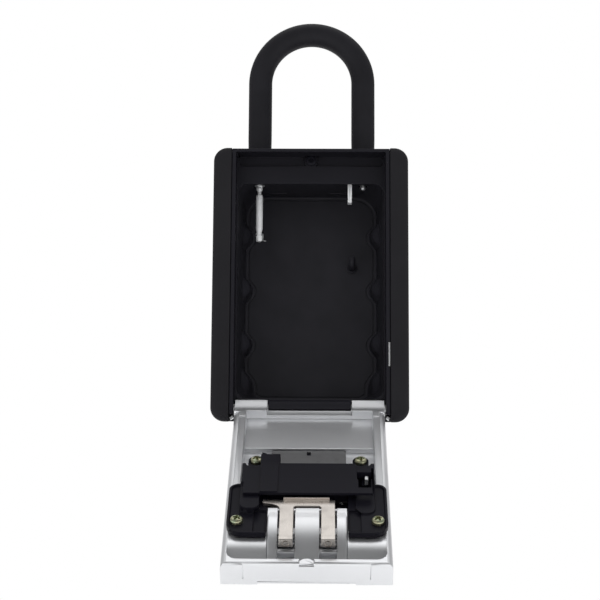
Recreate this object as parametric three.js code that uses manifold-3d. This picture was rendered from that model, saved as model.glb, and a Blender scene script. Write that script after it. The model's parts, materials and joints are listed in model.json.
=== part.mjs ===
// Combination key safe: a hanging padlock box whose drop-down door carries a
// four-wheel lock. Millimetres, X to the right, Y to the back, Z up.
// The door, its lock and its weather cover are built with the door shut and
// turned about the hinge, so their own frame is X, level (Y) and reach (Z).
import * as THREE from 'three';
import { mergeVertices } from 'three/addons/utils/BufferGeometryUtils.js';
import Module from 'manifold-3d';

const wasm = await Module();
wasm.setup();
const { Manifold, Mesh: SolidMesh } = wasm;

// Fits that every piece shares
const seatGap = 0.2;
const runGap = 0.3;
const overrun = 5;

// Sides of round shapes, and steps of curved ones
const thinSides = 12;
const tubeSides = 16;
const rodSides = 20;
const wheelSides = 28;
const bossSides = 40;
const bowSteps = 20;
const edgeSteps = 3;
const archSteps = 10;
const stepsPerDigit = 6;

// Housing
const bodyWidth = 84;
const bodyHeight = 119;
const bodyDepth = 44;
const bodyCorner = 6;
const bodyEdge = 3.5;
const bottomDraft = 4.2;
const edgeSoftening = 0.8;
const jacketWall = 3;
const jacketTopStep = 0.9;
const rimWidth = 1.7;
const rimSetback = 0.3;
const backPlateThickness = 2.2;
const backPlateMargin = 3.7;
const backPlateLift = 4;
const backPlateCorner = 4;

// Door opening, shelf and key chamber
const doorWidthShare = 0.75;
const topLipThickness = 1.4;
const doorSideGap = 0.7;
const doorEndGap = 0.4;
const bayDepth = 9.9;
const shelfHeight = 12;
const frameThickness = 1.2;
const frameWidth = 0.6;
const mouthCorner = 4.5;
const mouthBottom = 9.8;
const chamberTopRise = 2.3;
const chamberTaper = 1.7;
const chamberBackCorner = 10;
const linerWall = 1.2;
const linerBackWall = 2.4;
const bossLength = 10.5;
const bossRise = 2.2;
const bossFrontSetback = 6;
const bossHeightShares = [0.094, 0.2735, 0.53, 0.784];

// Hinge
const hingeDepth = 5.5;
const hingeHeight = 6.5;
const openAngle = 128;
const knuckleRadius = 3.25;
const barrelShare = 0.5524;
const barrelGap = 0.4;
const barrelSlotHeight = 1;
const barrelSlotDepth = 0.8;
const barrelSlotDrop = 1.3;
const hingePinRadius = 1.5;
const hingePinGrip = 5;
const swingClearance = 6.3;
const stopTabWidth = 1.6;
const stopTabHeight = 1.2;
const stopTabDepth = 3;
const stopTabTilt = 35;

// Shackle
const legSpacingShare = 0.5452;
const shackleDepthShare = 0.5;
const steelRadius = 4;
const sleeveRadius = 5.2;
const sleeveBore = 4.2;
const bowRise = 35.1;
const sleeveSink = 1;
const guideRadius = 4.4;
const sleeveWellRadius = 5.6;
const sleeveWellDepth = 2;
const legSeatHeight = 2.2;
const shackleTravel = 20.4;
const stemRadius = 1.55;
const stemNeckRadius = 1.15;
const stemNeckLength = 1.2;
const stemGrip = 5;
const clipRadius = 2.4;
const clipThickness = 0.6;
const clipFromEnd = 2.9;
const clipMouthShare = 0.7;
const stemBushRadius = 2.5;
const stemBushHeight = 2.4;
const nubRadius = 1.3;
const nubLength = 3.2;
const notchDepth = 2.3;
const notchHeight = 3;

// Shackle release catch
const catchThickness = 2.2;
const catchTravel = 3;
const catchStandOff = 1;
const catchLength = 12;
const catchNoseWidth = 6;
const catchFrontLead = 8.5;
const tabThickness = 1.8;
const tabWidth = 4;
const tabLength = 15.9;
const tabTaperHeight = 2.4;
const tabTipShare = 0.3;

// Small fittings of the housing
const shelfScrewRadius = 2.4;
const shelfScrewHead = 1.2;
const shelfScrewDrop = 1.6;
const shelfScrewShank = 1.2;
const shelfScrewLength = 6;
const shelfScrewSocket = 1.1;
const backScrewRadius = 2.2;
const backScrewSideInset = 3.3;
const backScrewInset = 6;
const backScrewHead = 1.2;
const backScrewShank = 1.3;
const backScrewLength = 8;
const hookSideShare = 0.5807;
const hookHeightShare = 0.6406;
const hookRadius = 1.4;
const hookReach = 7;
const hookTip = 4.2;
const hookFlangeRadius = 2.4;
const leafHeight = 10.2;
const leafBottom = 23.8;
const leafThickness = 0.8;
const leafDepth = 2.5;

// Door casting, in the door's own frame
const doorFront = -6;
const doorRim = 4;
const doorCorner = 1.2;
const noseSweepAngle = 40;
const wallThickness = 1.5;
const channelShare = 0.3683;
const channelDepth = 2.4;
const lipThickness = 1.2;
const grooveDepth = 1.1;
const trayShare = 0.419;
const trayWideShare = 0.4667;
const trayCorner = 4;
const trayStart = 8.4;
const trayStepLead = 7.2;
const trayFloor = 0;
const trayWideLag = 4.5;
const endWallThickness = 2.6;
const notchReach = 4.6;
const hingeWallRim = 1.6;
const seamWidth = 0.4;
const seamDepth = 0.4;
const padClearance = 0.5;

// Thumb recess
const scoopShare = 0.2127;
const scoopShell = 1.5;
const scoopLength = 17;
const scoopFromEnd = 10.8;
const scoopRise = 5.6;
const humpShare = 0.2381;
const archShoulderShare = 0.12;

// Number wheels
const wheelCount = 4;
const wheelPitchShare = 0.1365;
const wheelSpacing = 2;
const wheelRadius = 6.6;
const wheelGripDepth = 0.35;
const digitsPerWheel = 10;
const wheelBore = 3.7;
const sleeveTubeRadius = 3.4;
const gateFlangeRadius = 5.2;
const gateFlangeThickness = 1.2;
const gateWidth = 2;
const gateDepth = 1.4;
const axleRadius = 1.6;
const axleGrip = 2.4;
const windowSideGap = 0.6;
const windowReach = 5.8;

// Lock case
const caseFloorGap = 0.3;
const caseWall = 1.2;
const caseWheelGap = 0.4;
const caseSideShare = 0.4063;
const caseStepLevel = 5.5;
const caseStepInset = 1.7;
const earTop = 6.6;
const earBottom = 4.3;
const earShare = 0.4794;
const earLag = 1.8;
const earLength = 31.2;
const earCorner = 3.6;
const earRim = 0.7;
const earRimWidth = 1.1;
const towerTop = 8.8;
const towerInnerShare = 0.2889;
const towerLag = 1;
const towerRounding = 3;
const caseTabLength = 8.3;
const caseTabTop = 8;
const caseTabOuterShare = 0.2968;
const caseTabInnerShare = 0.1746;
const flangeLevel = 3;
const flangeThickness = 1.6;
const flangeLength = 16.5;
const flangeWidth = 9.4;
const topScrewInset = 6;
const topScrewShare = 0.3286;
const lowScrewLag = 6;
const postRadius = 3;
const caseScrewRadius = 2.6;
const caseScrewHead = 1.7;
const caseScrewShank = 1.2;
const caseScrewLength = 4.6;
const screwCrossWidth = 0.8;
const screwCrossDepth = 0.8;
const screwCrossShare = 0.62;
const leverPocketWidth = 6.4;
const leverPocketLead = 3.9;
const leverPocketFloor = 4.8;
const leverTravel = 3.5;
const leverWidth = 1.3;
const leverLength = 2.6;
const leverFootLength = 5.4;
const leverRise = 2.6;
const leverFootWidth = 3;
const leverFootHeight = 1.2;

// Floor plate under the hinge-side half of the tray
const floorPlateShare = 0.2381;
const floorPlateGap = 0.4;
const floorPlateThickness = 1;
const floorPlateHole = 0.8;

// Latch: fork, comb and thumb slide
const latchTravel = 5.2;
const forkThickness = 1.6;
const releaseClearance = 0.5;
const forkTipLength = 3;
const forkTipRise = 1.5;
const forkLegWidthShare = 0.084;
const forkLegShare = 0.1238;
const forkBarGap = 0.7;
const forkBarWidth = 3.9;
const forkPointShare = 0.2698;
const forkPointWidth = 1.4;
const forkFlangeShare = 0.146;
const forkFlangeRise = 2.2;
const forkFlangeThickness = 1.2;
const dimpleRadius = 1;
const dimpleDepth = 0.4;
const combLevel = 1.2;
const combThickness = 1.2;
const combToothWidth = 1;
const combToothLength = 3;
const combBarWidth = 2;
const combPostWidth = 3;
const thumbSideGap = 0.8;
const thumbWidth = 3.6;
const thumbFront = -3.1;
const thumbBack = 3;
const thumbRibs = 3;
const thumbRibDepth = 0.4;
const lugWidth = 3.4;
const slotGap = 0.6;

// Weather cover
const coverSkin = 1.1;
const coverThickness = 2.1;
const coverOverlap = 1.8;
const coverEndGap = 0.3;
const coverPocketShare = 0.2921;
const coverGripRibs = 4;
const coverGripPitch = 2.4;
const coverGripDepth = 0.5;
const coverGripShare = 0.1905;
const coverGripFromEnd = 6;

// Places that follow from the sizes above
const bodyHalf = bodyWidth / 2;
const doorWidth = bodyWidth * doorWidthShare;
const doorHalf = doorWidth / 2;
const bayHalf = doorHalf + doorSideGap;
const rimHalf = bayHalf + rimWidth;
const castingTop = bodyHeight - jacketTopStep;
const lipBottom = castingTop - topLipThickness;
const doorLength = lipBottom - doorEndGap - hingeHeight;
const mouthTop = lipBottom - shelfHeight;
const mouthHalf = bayHalf - frameWidth;
const chamberTop = mouthTop + chamberTopRise;
const chamberFront = bayDepth + frameThickness;
const chamberBottom = mouthBottom + linerWall;
const castingHalf = bodyHalf - jacketWall - seatGap;
const castingBottom = jacketWall + seatGap;
const castingBack = bodyDepth - backPlateThickness - seatGap;
const linerBack = castingBack - seatGap;
const chamberBack = linerBack - linerBackWall;
const chamberDepth = chamberBack - chamberFront;
const shackleDepth = bodyDepth * shackleDepthShare;
const catchFrontDepth = shackleDepth - catchFrontLead;
const linerHalf = mouthHalf + linerWall;
const linerTop = chamberTop + linerWall;
const legHalf = (bodyWidth * legSpacingShare) / 2;
const bowCentre = castingTop + bowRise;
const bowUnderside = bowCentre + legHalf - sleeveRadius;
const legSeat = linerTop + seatGap + runGap;
const notchBottom = legSeat + legSeatHeight - runGap;
const catchLevel = notchBottom + runGap;
const channelFloor = doorFront + channelDepth;
const lowFloor = channelFloor + wallThickness;
const frontLip = doorFront + lipThickness;
const barrelWidth = doorWidth * barrelShare;
const hookSide = mouthHalf * hookSideShare;
const hookHeight = chamberBottom + (chamberTop - chamberBottom) * hookHeightShare;
const channelHalf = doorWidth * channelShare;
const trayHalf = doorWidth * trayShare;
const trayWideHalf = doorWidth * trayWideShare;
const scoopHalf = doorWidth * scoopShare;
const humpHalf = doorWidth * humpShare;
const scoopEnd = doorLength - scoopFromEnd;
const scoopStart = scoopEnd - scoopLength;
const trayWideStart = scoopStart + trayWideLag;
const wheelPitch = doorWidth * wheelPitchShare;
const wheelWidth = wheelPitch - wheelSpacing;
const caseEnd = scoopStart - scoopShell - forkBarGap - forkBarWidth - latchTravel;
const wheelReach = caseEnd - caseWall - caseWheelGap - wheelRadius;
const wheelLevel = doorFront + coverSkin + seatGap + wheelRadius;
const caseTop = wheelLevel + wheelRadius + caseWheelGap + caseWall;
const caseStart = wheelReach - wheelRadius - caseWheelGap - caseWall;
const caseSideHalf = doorWidth * caseSideShare;
const caseTabStart = caseStart - caseTabLength;
const flangeStart = caseStart - flangeLength;
const trayStep = flangeStart - trayStepLead;
const floorPlateHalf = doorWidth * floorPlateShare;
const floorPlateStart = trayStep + floorPlateGap;
const floorPlateEnd = caseTabStart - floorPlateGap;
const earHalf = doorWidth * earShare;
const earStart = wheelReach + earLag;
const earEnd = earStart + earLength;
const towerInner = doorWidth * towerInnerShare;
const towerEnd = scoopStart + towerLag;
const topScrewReach = flangeStart + topScrewInset;
const topScrewSide = doorWidth * topScrewShare;
const lowScrewReach = scoopStart + lowScrewLag;
const leverPocketStart = wheelReach - leverPocketLead;
const caseBottom = lowFloor + caseFloorGap;
const wheelsHalf = (wheelCount * wheelPitch) / 2;
const forkLevel = chamberFront + runGap - hingeDepth;
const forkTop = forkLevel + forkThickness;
const forkTipReach = mouthTop - hingeHeight + latchTravel - releaseClearance;
const forkBarStart = caseEnd + latchTravel;
const forkLegCentre = doorWidth * forkLegShare;
const forkLegWidth = doorWidth * forkLegWidthShare;
const forkPoint = doorWidth * forkPointShare;
const forkFlangeHalf = doorWidth * forkFlangeShare;
const thumbHalf = scoopHalf - thumbSideGap;
const thumbReach = scoopStart + latchTravel + seatGap;
const combToothReach = wheelReach + gateFlangeRadius + latchTravel + slotGap;
const combBarReach = combToothReach + combToothLength;
const coverEnd = doorLength - coverEndGap;
const coverStart = wheelReach - windowReach - coverOverlap;
const coverPocketHalf = doorWidth * coverPocketShare;
const coverGripHalf = doorWidth * coverGripShare;
const stemTop = legSeat + stemGrip;
const stemPlace = [-legHalf, shackleDepth];
const nubPlace = [legHalf, shackleDepth];
const bushBottom = linerTop - seatGap - stemBushHeight;
const clipBottom = bushBottom - runGap - shackleTravel - clipThickness;
const leverPocketEnd = leverPocketStart + leverFootLength + leverTravel + slotGap * 2;
const leverSide = caseSideHalf - leverPocketWidth / 2 - caseWall / 4;
const catchNose = legHalf - steelRadius - catchStandOff;
const tabSide = catchNose - tabThickness;
const bossRadius = (bossLength ** 2 / 4 + bossRise ** 2) / (2 * bossRise);

// Finishes
function finish(color, roughness, metalness) {
  return { color, roughness, metalness };
}
const finishes = {
  jacket: finish(0x262726, 0.62, 0),
  casting: finish(0x1d1e20, 0.5, 0.2),
  liner: finish(0x202226, 0.45, 0),
  steel: finish(0xc4c6c8, 0.25, 1),
  sleeve: finish(0x232323, 0.6, 0),
  zinc: finish(0xa9acb3, 0.38, 0.9),
  lockCase: finish(0x121214, 0.4, 0),
  nickel: finish(0xd9d2c8, 0.3, 0.9),
  screw: finish(0xc9bd86, 0.32, 0.9),
  plate: finish(0x77787a, 0.5, 0.7),
  wheel: finish(0x1a1a1b, 0.45, 0),
};

// Solids: every helper returns a manifold that the pieces below join and cut
function solidOf(geometry) {
  const bare = geometry.index ? geometry.toNonIndexed() : geometry.clone();
  bare.deleteAttribute('normal');
  bare.deleteAttribute('uv');
  const merged = mergeVertices(bare, 1e-4);
  return new Manifold(new SolidMesh({
    numProp: 3,
    vertProperties: new Float32Array(merged.attributes.position.array),
    triVerts: new Uint32Array(merged.index.array),
  }));
}

function geometryOf(solid) {
  const { vertProperties, triVerts } = solid.getMesh();
  const geometry = new THREE.BufferGeometry();
  geometry.setAttribute('position', new THREE.BufferAttribute(vertProperties, 3));
  geometry.setIndex(new THREE.BufferAttribute(triVerts, 1));
  const flat = geometry.toNonIndexed();
  flat.computeVertexNormals();
  return flat;
}

function piece(name, solid, look) {
  const mesh = new THREE.Mesh(geometryOf(solid), new THREE.MeshStandardMaterial(finishes[look]));
  mesh.name = name;
  return mesh;
}

const join = (...solids) => solids.reduce((sum, one) => sum.add(one));
const cut = (solid, ...tools) => tools.reduce((rest, tool) => rest.subtract(tool), solid);

function box([x0, x1], [y0, y1], [z0, z1]) {
  const geometry = new THREE.BoxGeometry(x1 - x0, y1 - y0, z1 - z0);
  geometry.translate((x0 + x1) / 2, (y0 + y1) / 2, (z0 + z1) / 2);
  return solidOf(geometry);
}

const halves = (half) => [-half, half];

function roundedRect([x0, x1], [y0, y1], radius) {
  const r = Math.min(radius, (x1 - x0) / 2, (y1 - y0) / 2);
  const shape = new THREE.Shape();
  shape.moveTo(x0 + r, y0);
  shape.lineTo(x1 - r, y0);
  shape.absarc(x1 - r, y0 + r, r, -Math.PI / 2, 0);
  shape.lineTo(x1, y1 - r);
  shape.absarc(x1 - r, y1 - r, r, 0, Math.PI / 2);
  shape.lineTo(x0 + r, y1);
  shape.absarc(x0 + r, y1 - r, r, Math.PI / 2, Math.PI);
  shape.lineTo(x0, y0 + r);
  shape.absarc(x0 + r, y0 + r, r, Math.PI, 1.5 * Math.PI);
  return shape;
}

function polygon(points) {
  return new THREE.Shape(points.map(([x, y]) => new THREE.Vector2(x, y)));
}

function disc(radius, [x, y] = [0, 0]) {
  return new THREE.Shape().absarc(x, y, radius, 0, 2 * Math.PI);
}

// Each prism runs a shape along one axis; edge rounds both of its ends.
function prism(shape, [from, to], steps, edge = 0) {
  const geometry = new THREE.ExtrudeGeometry(shape, {
    depth: to - from - 2 * edge,
    curveSegments: steps,
    bevelEnabled: edge > 0,
    bevelThickness: edge,
    bevelSize: edge,
    bevelOffset: -edge,
    bevelSegments: edgeSteps,
  });
  geometry.translate(0, 0, from + edge);
  return geometry;
}

// A shape drawn in X and reach or height (Z), run along Y
function alongY(shape, [from, to], steps = 5, edge = 0) {
  const geometry = prism(shape, [-to, -from], steps, edge);
  geometry.rotateX(Math.PI / 2);
  return geometry;
}

// A shape drawn in Y and Z, run along X
function alongX(shape, [from, to], steps = 5, edge = 0) {
  const geometry = prism(shape, [from, to], steps, edge);
  geometry.applyMatrix4(new THREE.Matrix4().set(0, 0, 1, 0, 1, 0, 0, 0, 0, 1, 0, 0, 0, 0, 0, 1));
  return geometry;
}

const runY = (...all) => solidOf(alongY(...all));
const runX = (...all) => solidOf(alongX(...all));
const runZ = (shape, span, steps = 6, edge = 0) => solidOf(prism(shape, span, steps, edge));

// Rods: a circle drawn with half as many steps as the rod has sides
const rodY = (radius, [x, z], span, sides = rodSides) => runY(disc(radius, [x, z]), span, sides / 2);
const rodX = (radius, [y, z], span, sides = rodSides) => runX(disc(radius, [y, z]), span, sides / 2);
const rodZ = (radius, [x, y], span, sides = rodSides) => runZ(disc(radius, [x, y]), span, sides / 2);

// A profile of [radius, height] pairs turned about Z, moved to a place
function turned(profile, [x, y, z], sides = rodSides) {
  const points = profile.map(([r, h]) => new THREE.Vector2(r, h));
  const geometry = new THREE.LatheGeometry(points, sides);
  geometry.rotateX(Math.PI / 2);
  geometry.translate(x, y, z);
  return solidOf(geometry);
}

// The underside of the housing rises towards the back, less and less further up
function drafted(solid) {
  return solid.warp((place) => {
    place[2] += bottomDraft * (place[1] / bodyDepth) * (1 - place[2] / bodyHeight);
  });
}

// Housing: the soft jacket wraps the sides, the bottom and the corners
function outerJacket() {
  const outline = roundedRect(halves(bodyHalf), [0, bodyHeight], bodyCorner);
  const shell = drafted(runY(outline, [0, bodyDepth], 6, bodyEdge));
  const core = [castingBottom - seatGap, bodyHeight - jacketWall];
  const wallHalf = bodyHalf - jacketWall;
  const opening = halves(rimHalf + seatGap);
  return cut(
    shell,
    drafted(box(halves(wallHalf), [jacketWall, bodyDepth + overrun], core)),
    box(opening, [-overrun, jacketWall + overrun], [-overrun, bodyHeight + overrun]),
    box(opening, [-overrun, bodyDepth + overrun], [castingTop - rimWidth * 2, bodyHeight + overrun]),
    box(opening, [-overrun, hingeDepth + swingClearance], [-overrun, castingBottom + overrun]),
  );
}

function thumbTipRecess() {
  const half = forkLegCentre + forkLegWidth / 2 + slotGap * 2;
  const top = hingeHeight + forkTipReach + slotGap;
  const back = hingeDepth + forkTop + forkTipRise + slotGap * 2;
  return box(halves(half), [chamberFront, back], [mouthTop - overrun, top]);
}

function catchPocket() {
  const left = catchNose - catchLength - runGap;
  const right = catchNose + catchTravel + runGap;
  const level = [catchLevel - runGap, catchLevel + catchThickness + runGap];
  const back = shackleDepth + catchNoseWidth / 2 + runGap;
  const side = (left + right) / 2;
  return join(
    box([left, right], [catchFrontDepth - runGap, back], level),
    box([left, side], [back - runGap, castingBack + overrun], level),
    tabSlot(),
  );
}

function tabSlot() {
  const x0 = tabSide - runGap;
  const x1 = tabSide + tabThickness + catchTravel + runGap;
  const depth = [catchFrontDepth - runGap, catchFrontDepth + tabWidth + runGap];
  return box([x0, x1], depth, [chamberTop - overrun, catchLevel]);
}

function bodyCasting() {
  const block = drafted(box(halves(castingHalf), [jacketWall + seatGap, castingBack],
    [castingBottom, bodyHeight - jacketWall - seatGap]));
  const centre = drafted(box(halves(rimHalf), [rimSetback, castingBack], [castingBottom, castingTop]));
  const bay = box(halves(bayHalf), [-overrun, bayDepth], [-overrun, lipBottom]);
  const mouth = runY(roundedRect(halves(mouthHalf), [mouthBottom, mouthTop], mouthCorner),
    [0, chamberFront + seatGap]);
  const well = runY(roundedRect(halves(linerHalf + seatGap), [mouthBottom, linerTop + seatGap], mouthCorner),
    [chamberFront, castingBack + overrun]);
  const swing = box(halves(bayHalf), [-overrun, hingeDepth + swingClearance], [-overrun, mouthBottom]);
  const mouthFoot = box(halves(mouthHalf), [0, chamberFront + seatGap],
    [mouthBottom - seatGap, mouthTop / 2]);
  const topWall = [linerTop, castingTop + overrun];
  const bores = [-legHalf, legHalf].flatMap((x) => [
    rodZ(guideRadius, [x, shackleDepth], [legSeat - runGap, castingTop + overrun]),
    rodZ(sleeveWellRadius, [x, shackleDepth], [castingTop - sleeveWellDepth, castingTop + overrun]),
  ]);
  const stemHole = rodZ(stemRadius + runGap, stemPlace, topWall);
  const nubHole = rodZ(nubRadius + runGap, nubPlace, topWall);
  const pins = rodX(hingePinRadius + seatGap / 2, [hingeDepth, hingeHeight],
    halves(bayHalf + hingePinGrip));
  const screwHole = rodY(shelfScrewShank + seatGap / 2, [0, lipBottom - shelfScrewDrop],
    [0, bayDepth + shelfScrewLength + seatGap]);
  const screwRelief = rodY(shelfScrewRadius + seatGap, [0, lipBottom - shelfScrewDrop],
    [bayDepth - shelfScrewHead - seatGap * 2, bayDepth]);
  const backHoles = backScrewPlaces().map(([x, z]) => rodY(backScrewShank + seatGap / 2, [x, z],
    [castingBack - backScrewLength, castingBack + overrun]));
  const leafSeat = box([rimHalf - leafThickness, rimHalf + seatGap / 2],
    [0, rimSetback + leafDepth + seatGap / 2], [leafBottom - seatGap, leafBottom + leafHeight + seatGap]);
  return cut(join(block, centre), bay, mouth, well, swing, mouthFoot, ...bores, stemHole, nubHole, pins,
    screwHole, screwRelief, ...backHoles, leafSeat, thumbTipRecess(), catchPocket());
}

// The liner's pocket narrows towards its back
function taperedPocket() {
  const backHalf = mouthHalf - chamberTaper - seatGap * 2;
  const backSpan = [chamberBottom + chamberTaper, chamberTop - chamberTaper];
  const outline = roundedRect(halves(backHalf), backSpan, chamberBackCorner);
  const geometry = alongY(outline, [chamberFront, chamberBack]);
  const frontGrowth = mouthHalf / backHalf;
  const middle = (chamberTop + chamberBottom) / 2;
  const heightGrowth = (chamberTop - middle) / (backSpan[1] - middle);
  const place = geometry.attributes.position;
  for (let i = 0; i < place.count; i += 1) {
    const share = (chamberBack - place.getY(i)) / chamberDepth;
    place.setX(i, place.getX(i) * (1 + (frontGrowth - 1) * share));
    place.setZ(i, middle + (place.getZ(i) - middle) * (1 + (heightGrowth - 1) * share));
  }
  return solidOf(geometry);
}

function keyLiner() {
  const front = chamberFront + seatGap;
  const outline = roundedRect(halves(linerHalf), [mouthBottom + seatGap, linerTop], mouthCorner);
  const block = runY(outline, [front, linerBack]);
  const mouth = runY(roundedRect(halves(mouthHalf), [chamberBottom, chamberTop], mouthCorner),
    [0, chamberFront + mouthCorner]);
  const pocket = cut(block, taperedPocket(), mouth);
  const bossSide = mouthHalf - chamberTaper - bossRise + bossRadius;
  const bossSpan = [front + bossFrontSetback, chamberBack + seatGap];
  const bosses = bossHeightShares.flatMap((share) => [-1, 1].map((side) => rodY(bossRadius,
    [side * bossSide, chamberBottom + share * (chamberTop - chamberBottom)], bossSpan, bossSides)));
  const kept = join(...bosses).intersect(runY(outline, [front, linerBack]));
  const holes = [
    rodZ(stemBushRadius + seatGap / 2, stemPlace, [chamberTop - overrun, linerTop + overrun]),
    rodZ(nubRadius + runGap * 2, nubPlace, [chamberTop - overrun, linerTop + overrun]),
  ];
  return cut(join(pocket, kept), ...holes, thumbTipRecess(), tabSlot());
}

function keyHook() {
  const back = chamberBack - seatGap;
  const front = back - hookReach;
  return join(
    rodY(hookRadius, [hookSide, hookHeight], [front, back], thinSides),
    rodZ(hookRadius, [hookSide, front], [hookHeight - hookRadius, hookHeight + hookTip], thinSides),
    rodY(hookFlangeRadius, [hookSide, hookHeight], [back - hookRadius / 2, back], tubeSides),
  );
}

// A pan-head screw with a cross recess; its head points along the turned +Z
function screw(headRadius, headHeight, shankRadius, length) {
  const crown = headHeight / 4;
  const body = turned([
    [0, -length], [shankRadius, -length], [shankRadius, 0], [headRadius, 0],
    [headRadius, headHeight - crown], [headRadius - crown * 2, headHeight], [0, headHeight],
  ], [0, 0, 0]);
  const half = headRadius * screwCrossShare;
  const level = [headHeight - screwCrossDepth, headHeight + overrun];
  return cut(body,
    box(halves(half), halves(screwCrossWidth / 2), level),
    box(halves(screwCrossWidth / 2), halves(half), level));
}

const facingFront = (solid) => solid.rotate([90, 0, 0]);
const facingBack = (solid) => solid.rotate([-90, 0, 0]);

function shelfScrew() {
  const body = turned([
    [0, -shelfScrewLength], [shelfScrewShank, -shelfScrewLength], [shelfScrewShank, 0],
    [shelfScrewRadius, 0], [shelfScrewRadius, shelfScrewHead / 2],
    [shelfScrewRadius - shelfScrewHead / 2, shelfScrewHead], [0, shelfScrewHead],
  ], [0, 0, 0]);
  const hexagon = polygon(Array.from({ length: 6 }, (_, i) => {
    const angle = (i * Math.PI) / 3;
    return [shelfScrewSocket * Math.cos(angle), shelfScrewSocket * Math.sin(angle)];
  }));
  const socket = runZ(hexagon, [shelfScrewHead / 2, shelfScrewHead + overrun]);
  return facingFront(cut(body, socket)).translate([0, bayDepth - seatGap / 2, lipBottom - shelfScrewDrop]);
}

function backScrewPlaces() {
  const x = castingHalf - backScrewSideInset;
  const heights = [castingBottom + backPlateLift + backScrewInset,
    bodyHeight - jacketWall - backScrewInset - seatGap];
  return heights.flatMap((z) => [[-x, z], [x, z]]);
}

function backPlate() {
  const margin = backPlateMargin;
  const span = [margin + backPlateLift, bodyHeight - margin];
  const outline = roundedRect(halves(bodyHalf - margin), span, backPlateCorner);
  const plate = runY(outline, [bodyDepth - backPlateThickness, bodyDepth], 4);
  const holes = backScrewPlaces().flatMap(([x, z]) => [
    rodY(backScrewRadius + seatGap / 2, [x, z], [bodyDepth - backScrewHead - seatGap, bodyDepth + overrun]),
    rodY(backScrewShank + seatGap / 2, [x, z], [bodyDepth - overrun, bodyDepth + overrun]),
  ]);
  return cut(plate, ...holes);
}

function backScrew([x, z]) {
  const solid = screw(backScrewRadius, backScrewHead, backScrewShank, backScrewLength - seatGap);
  return facingBack(solid).translate([x, bodyDepth - backScrewHead - seatGap / 2, z]);
}

// Hinge barrel: it stands on the housing floor between the door's knuckles
function hingeBarrel() {
  const half = barrelWidth / 2;
  const web = box(halves(half), [hingeDepth, hingeDepth + swingClearance - seatGap],
    [hingeHeight - knuckleRadius, hingeHeight + knuckleRadius]);
  const slotBottom = hingeHeight - knuckleRadius + barrelSlotDrop;
  const slotDepth = [hingeDepth - knuckleRadius - overrun, hingeDepth - knuckleRadius + barrelSlotDepth];
  const slot = box(halves(half - runGap * 2), slotDepth, [slotBottom, slotBottom + barrelSlotHeight]);
  const barrel = rodX(knuckleRadius, [hingeDepth, hingeHeight], halves(half), wheelSides);
  return cut(join(barrel, web), slot,
    rodX(hingePinRadius + seatGap / 2, [hingeDepth, hingeHeight], halves(half + overrun)));
}

function hingePin(side) {
  const inner = barrelWidth / 2 - hingePinGrip;
  const outer = bayHalf + hingePinGrip - seatGap;
  const span = side < 0 ? [-outer, -inner] : [inner, outer];
  return rodX(hingePinRadius, [hingeDepth, hingeHeight], span);
}

// Steel tabs at the foot of both rails, against which the open door rests
function stopTab(side) {
  const tilt = THREE.MathUtils.degToRad(stopTabTilt);
  const halfHeight = (stopTabWidth * Math.sin(tilt) + stopTabHeight * Math.cos(tilt)) / 2;
  const tab = box(halves(stopTabWidth / 2), halves(stopTabDepth / 2), halves(stopTabHeight / 2));
  const height = castingBottom - seatGap - halfHeight;
  return tab.rotate([0, side * stopTabTilt, 0]).translate([
    side * (bayHalf + rimWidth / 2), jacketWall + stopTabDepth / 2 + seatGap, height]);
}

function railLeaf() {
  return box([rimHalf - leafThickness + seatGap / 2, rimHalf], [rimSetback, rimSetback + leafDepth],
    [leafBottom, leafBottom + leafHeight]);
}

// Shackle: a half-round bow between two straight legs, alike for steel and sleeve
class BowArc extends THREE.Curve {
  getPoint(t, target = new THREE.Vector3()) {
    const angle = Math.PI * (1 - t);
    return target.set(legHalf * Math.cos(angle), shackleDepth, bowCentre + legHalf * Math.sin(angle));
  }
}

function bowTube(radius, legEnd) {
  const arch = new THREE.ExtrudeGeometry(disc(radius), {
    curveSegments: tubeSides / 2,
    steps: bowSteps,
    extrudePath: new BowArc(),
  });
  const legSpan = [legEnd, bowCentre + seatGap];
  const legs = [-legHalf, legHalf].map((x) => rodZ(radius, [x, shackleDepth], legSpan, tubeSides));
  return join(solidOf(arch), ...legs);
}

function shackleBow() {
  const bow = bowTube(steelRadius, legSeat);
  const notch = box([legHalf - steelRadius - overrun, legHalf - steelRadius + notchDepth],
    halves(steelRadius + overrun).map((y) => y + shackleDepth), [notchBottom, notchBottom + notchHeight]);
  const nub = rodZ(nubRadius, nubPlace, [legSeat - nubLength, notchBottom]);
  const socket = rodZ(stemRadius + seatGap / 2, stemPlace, [legSeat - overrun, stemTop]);
  return cut(join(bow, nub), notch, socket);
}

function shackleSleeve() {
  const end = castingTop - sleeveSink;
  return cut(bowTube(sleeveRadius, end), bowTube(sleeveBore, legSeat));
}

// The long leg ends in a stem; lifted, its clip stops under the bush
function shackleStem() {
  const foot = clipBottom - clipFromEnd;
  const neck = clipBottom - seatGap / 2;
  const groove = clipThickness + seatGap;
  const upperNeck = bushBottom - stemNeckLength * 2;
  const chamfer = stemRadius / 4;
  return turned([
    [0, foot], [stemRadius - chamfer, foot], [stemRadius, foot + chamfer],
    [stemRadius, neck], [stemNeckRadius, neck],
    [stemNeckRadius, neck + groove], [stemRadius, neck + groove],
    [stemRadius, upperNeck], [stemNeckRadius, upperNeck],
    [stemNeckRadius, upperNeck + stemNeckLength], [stemRadius, upperNeck + stemNeckLength],
    [stemRadius, stemTop - seatGap], [0, stemTop - seatGap],
  ], [-legHalf, shackleDepth, 0]);
}

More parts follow.
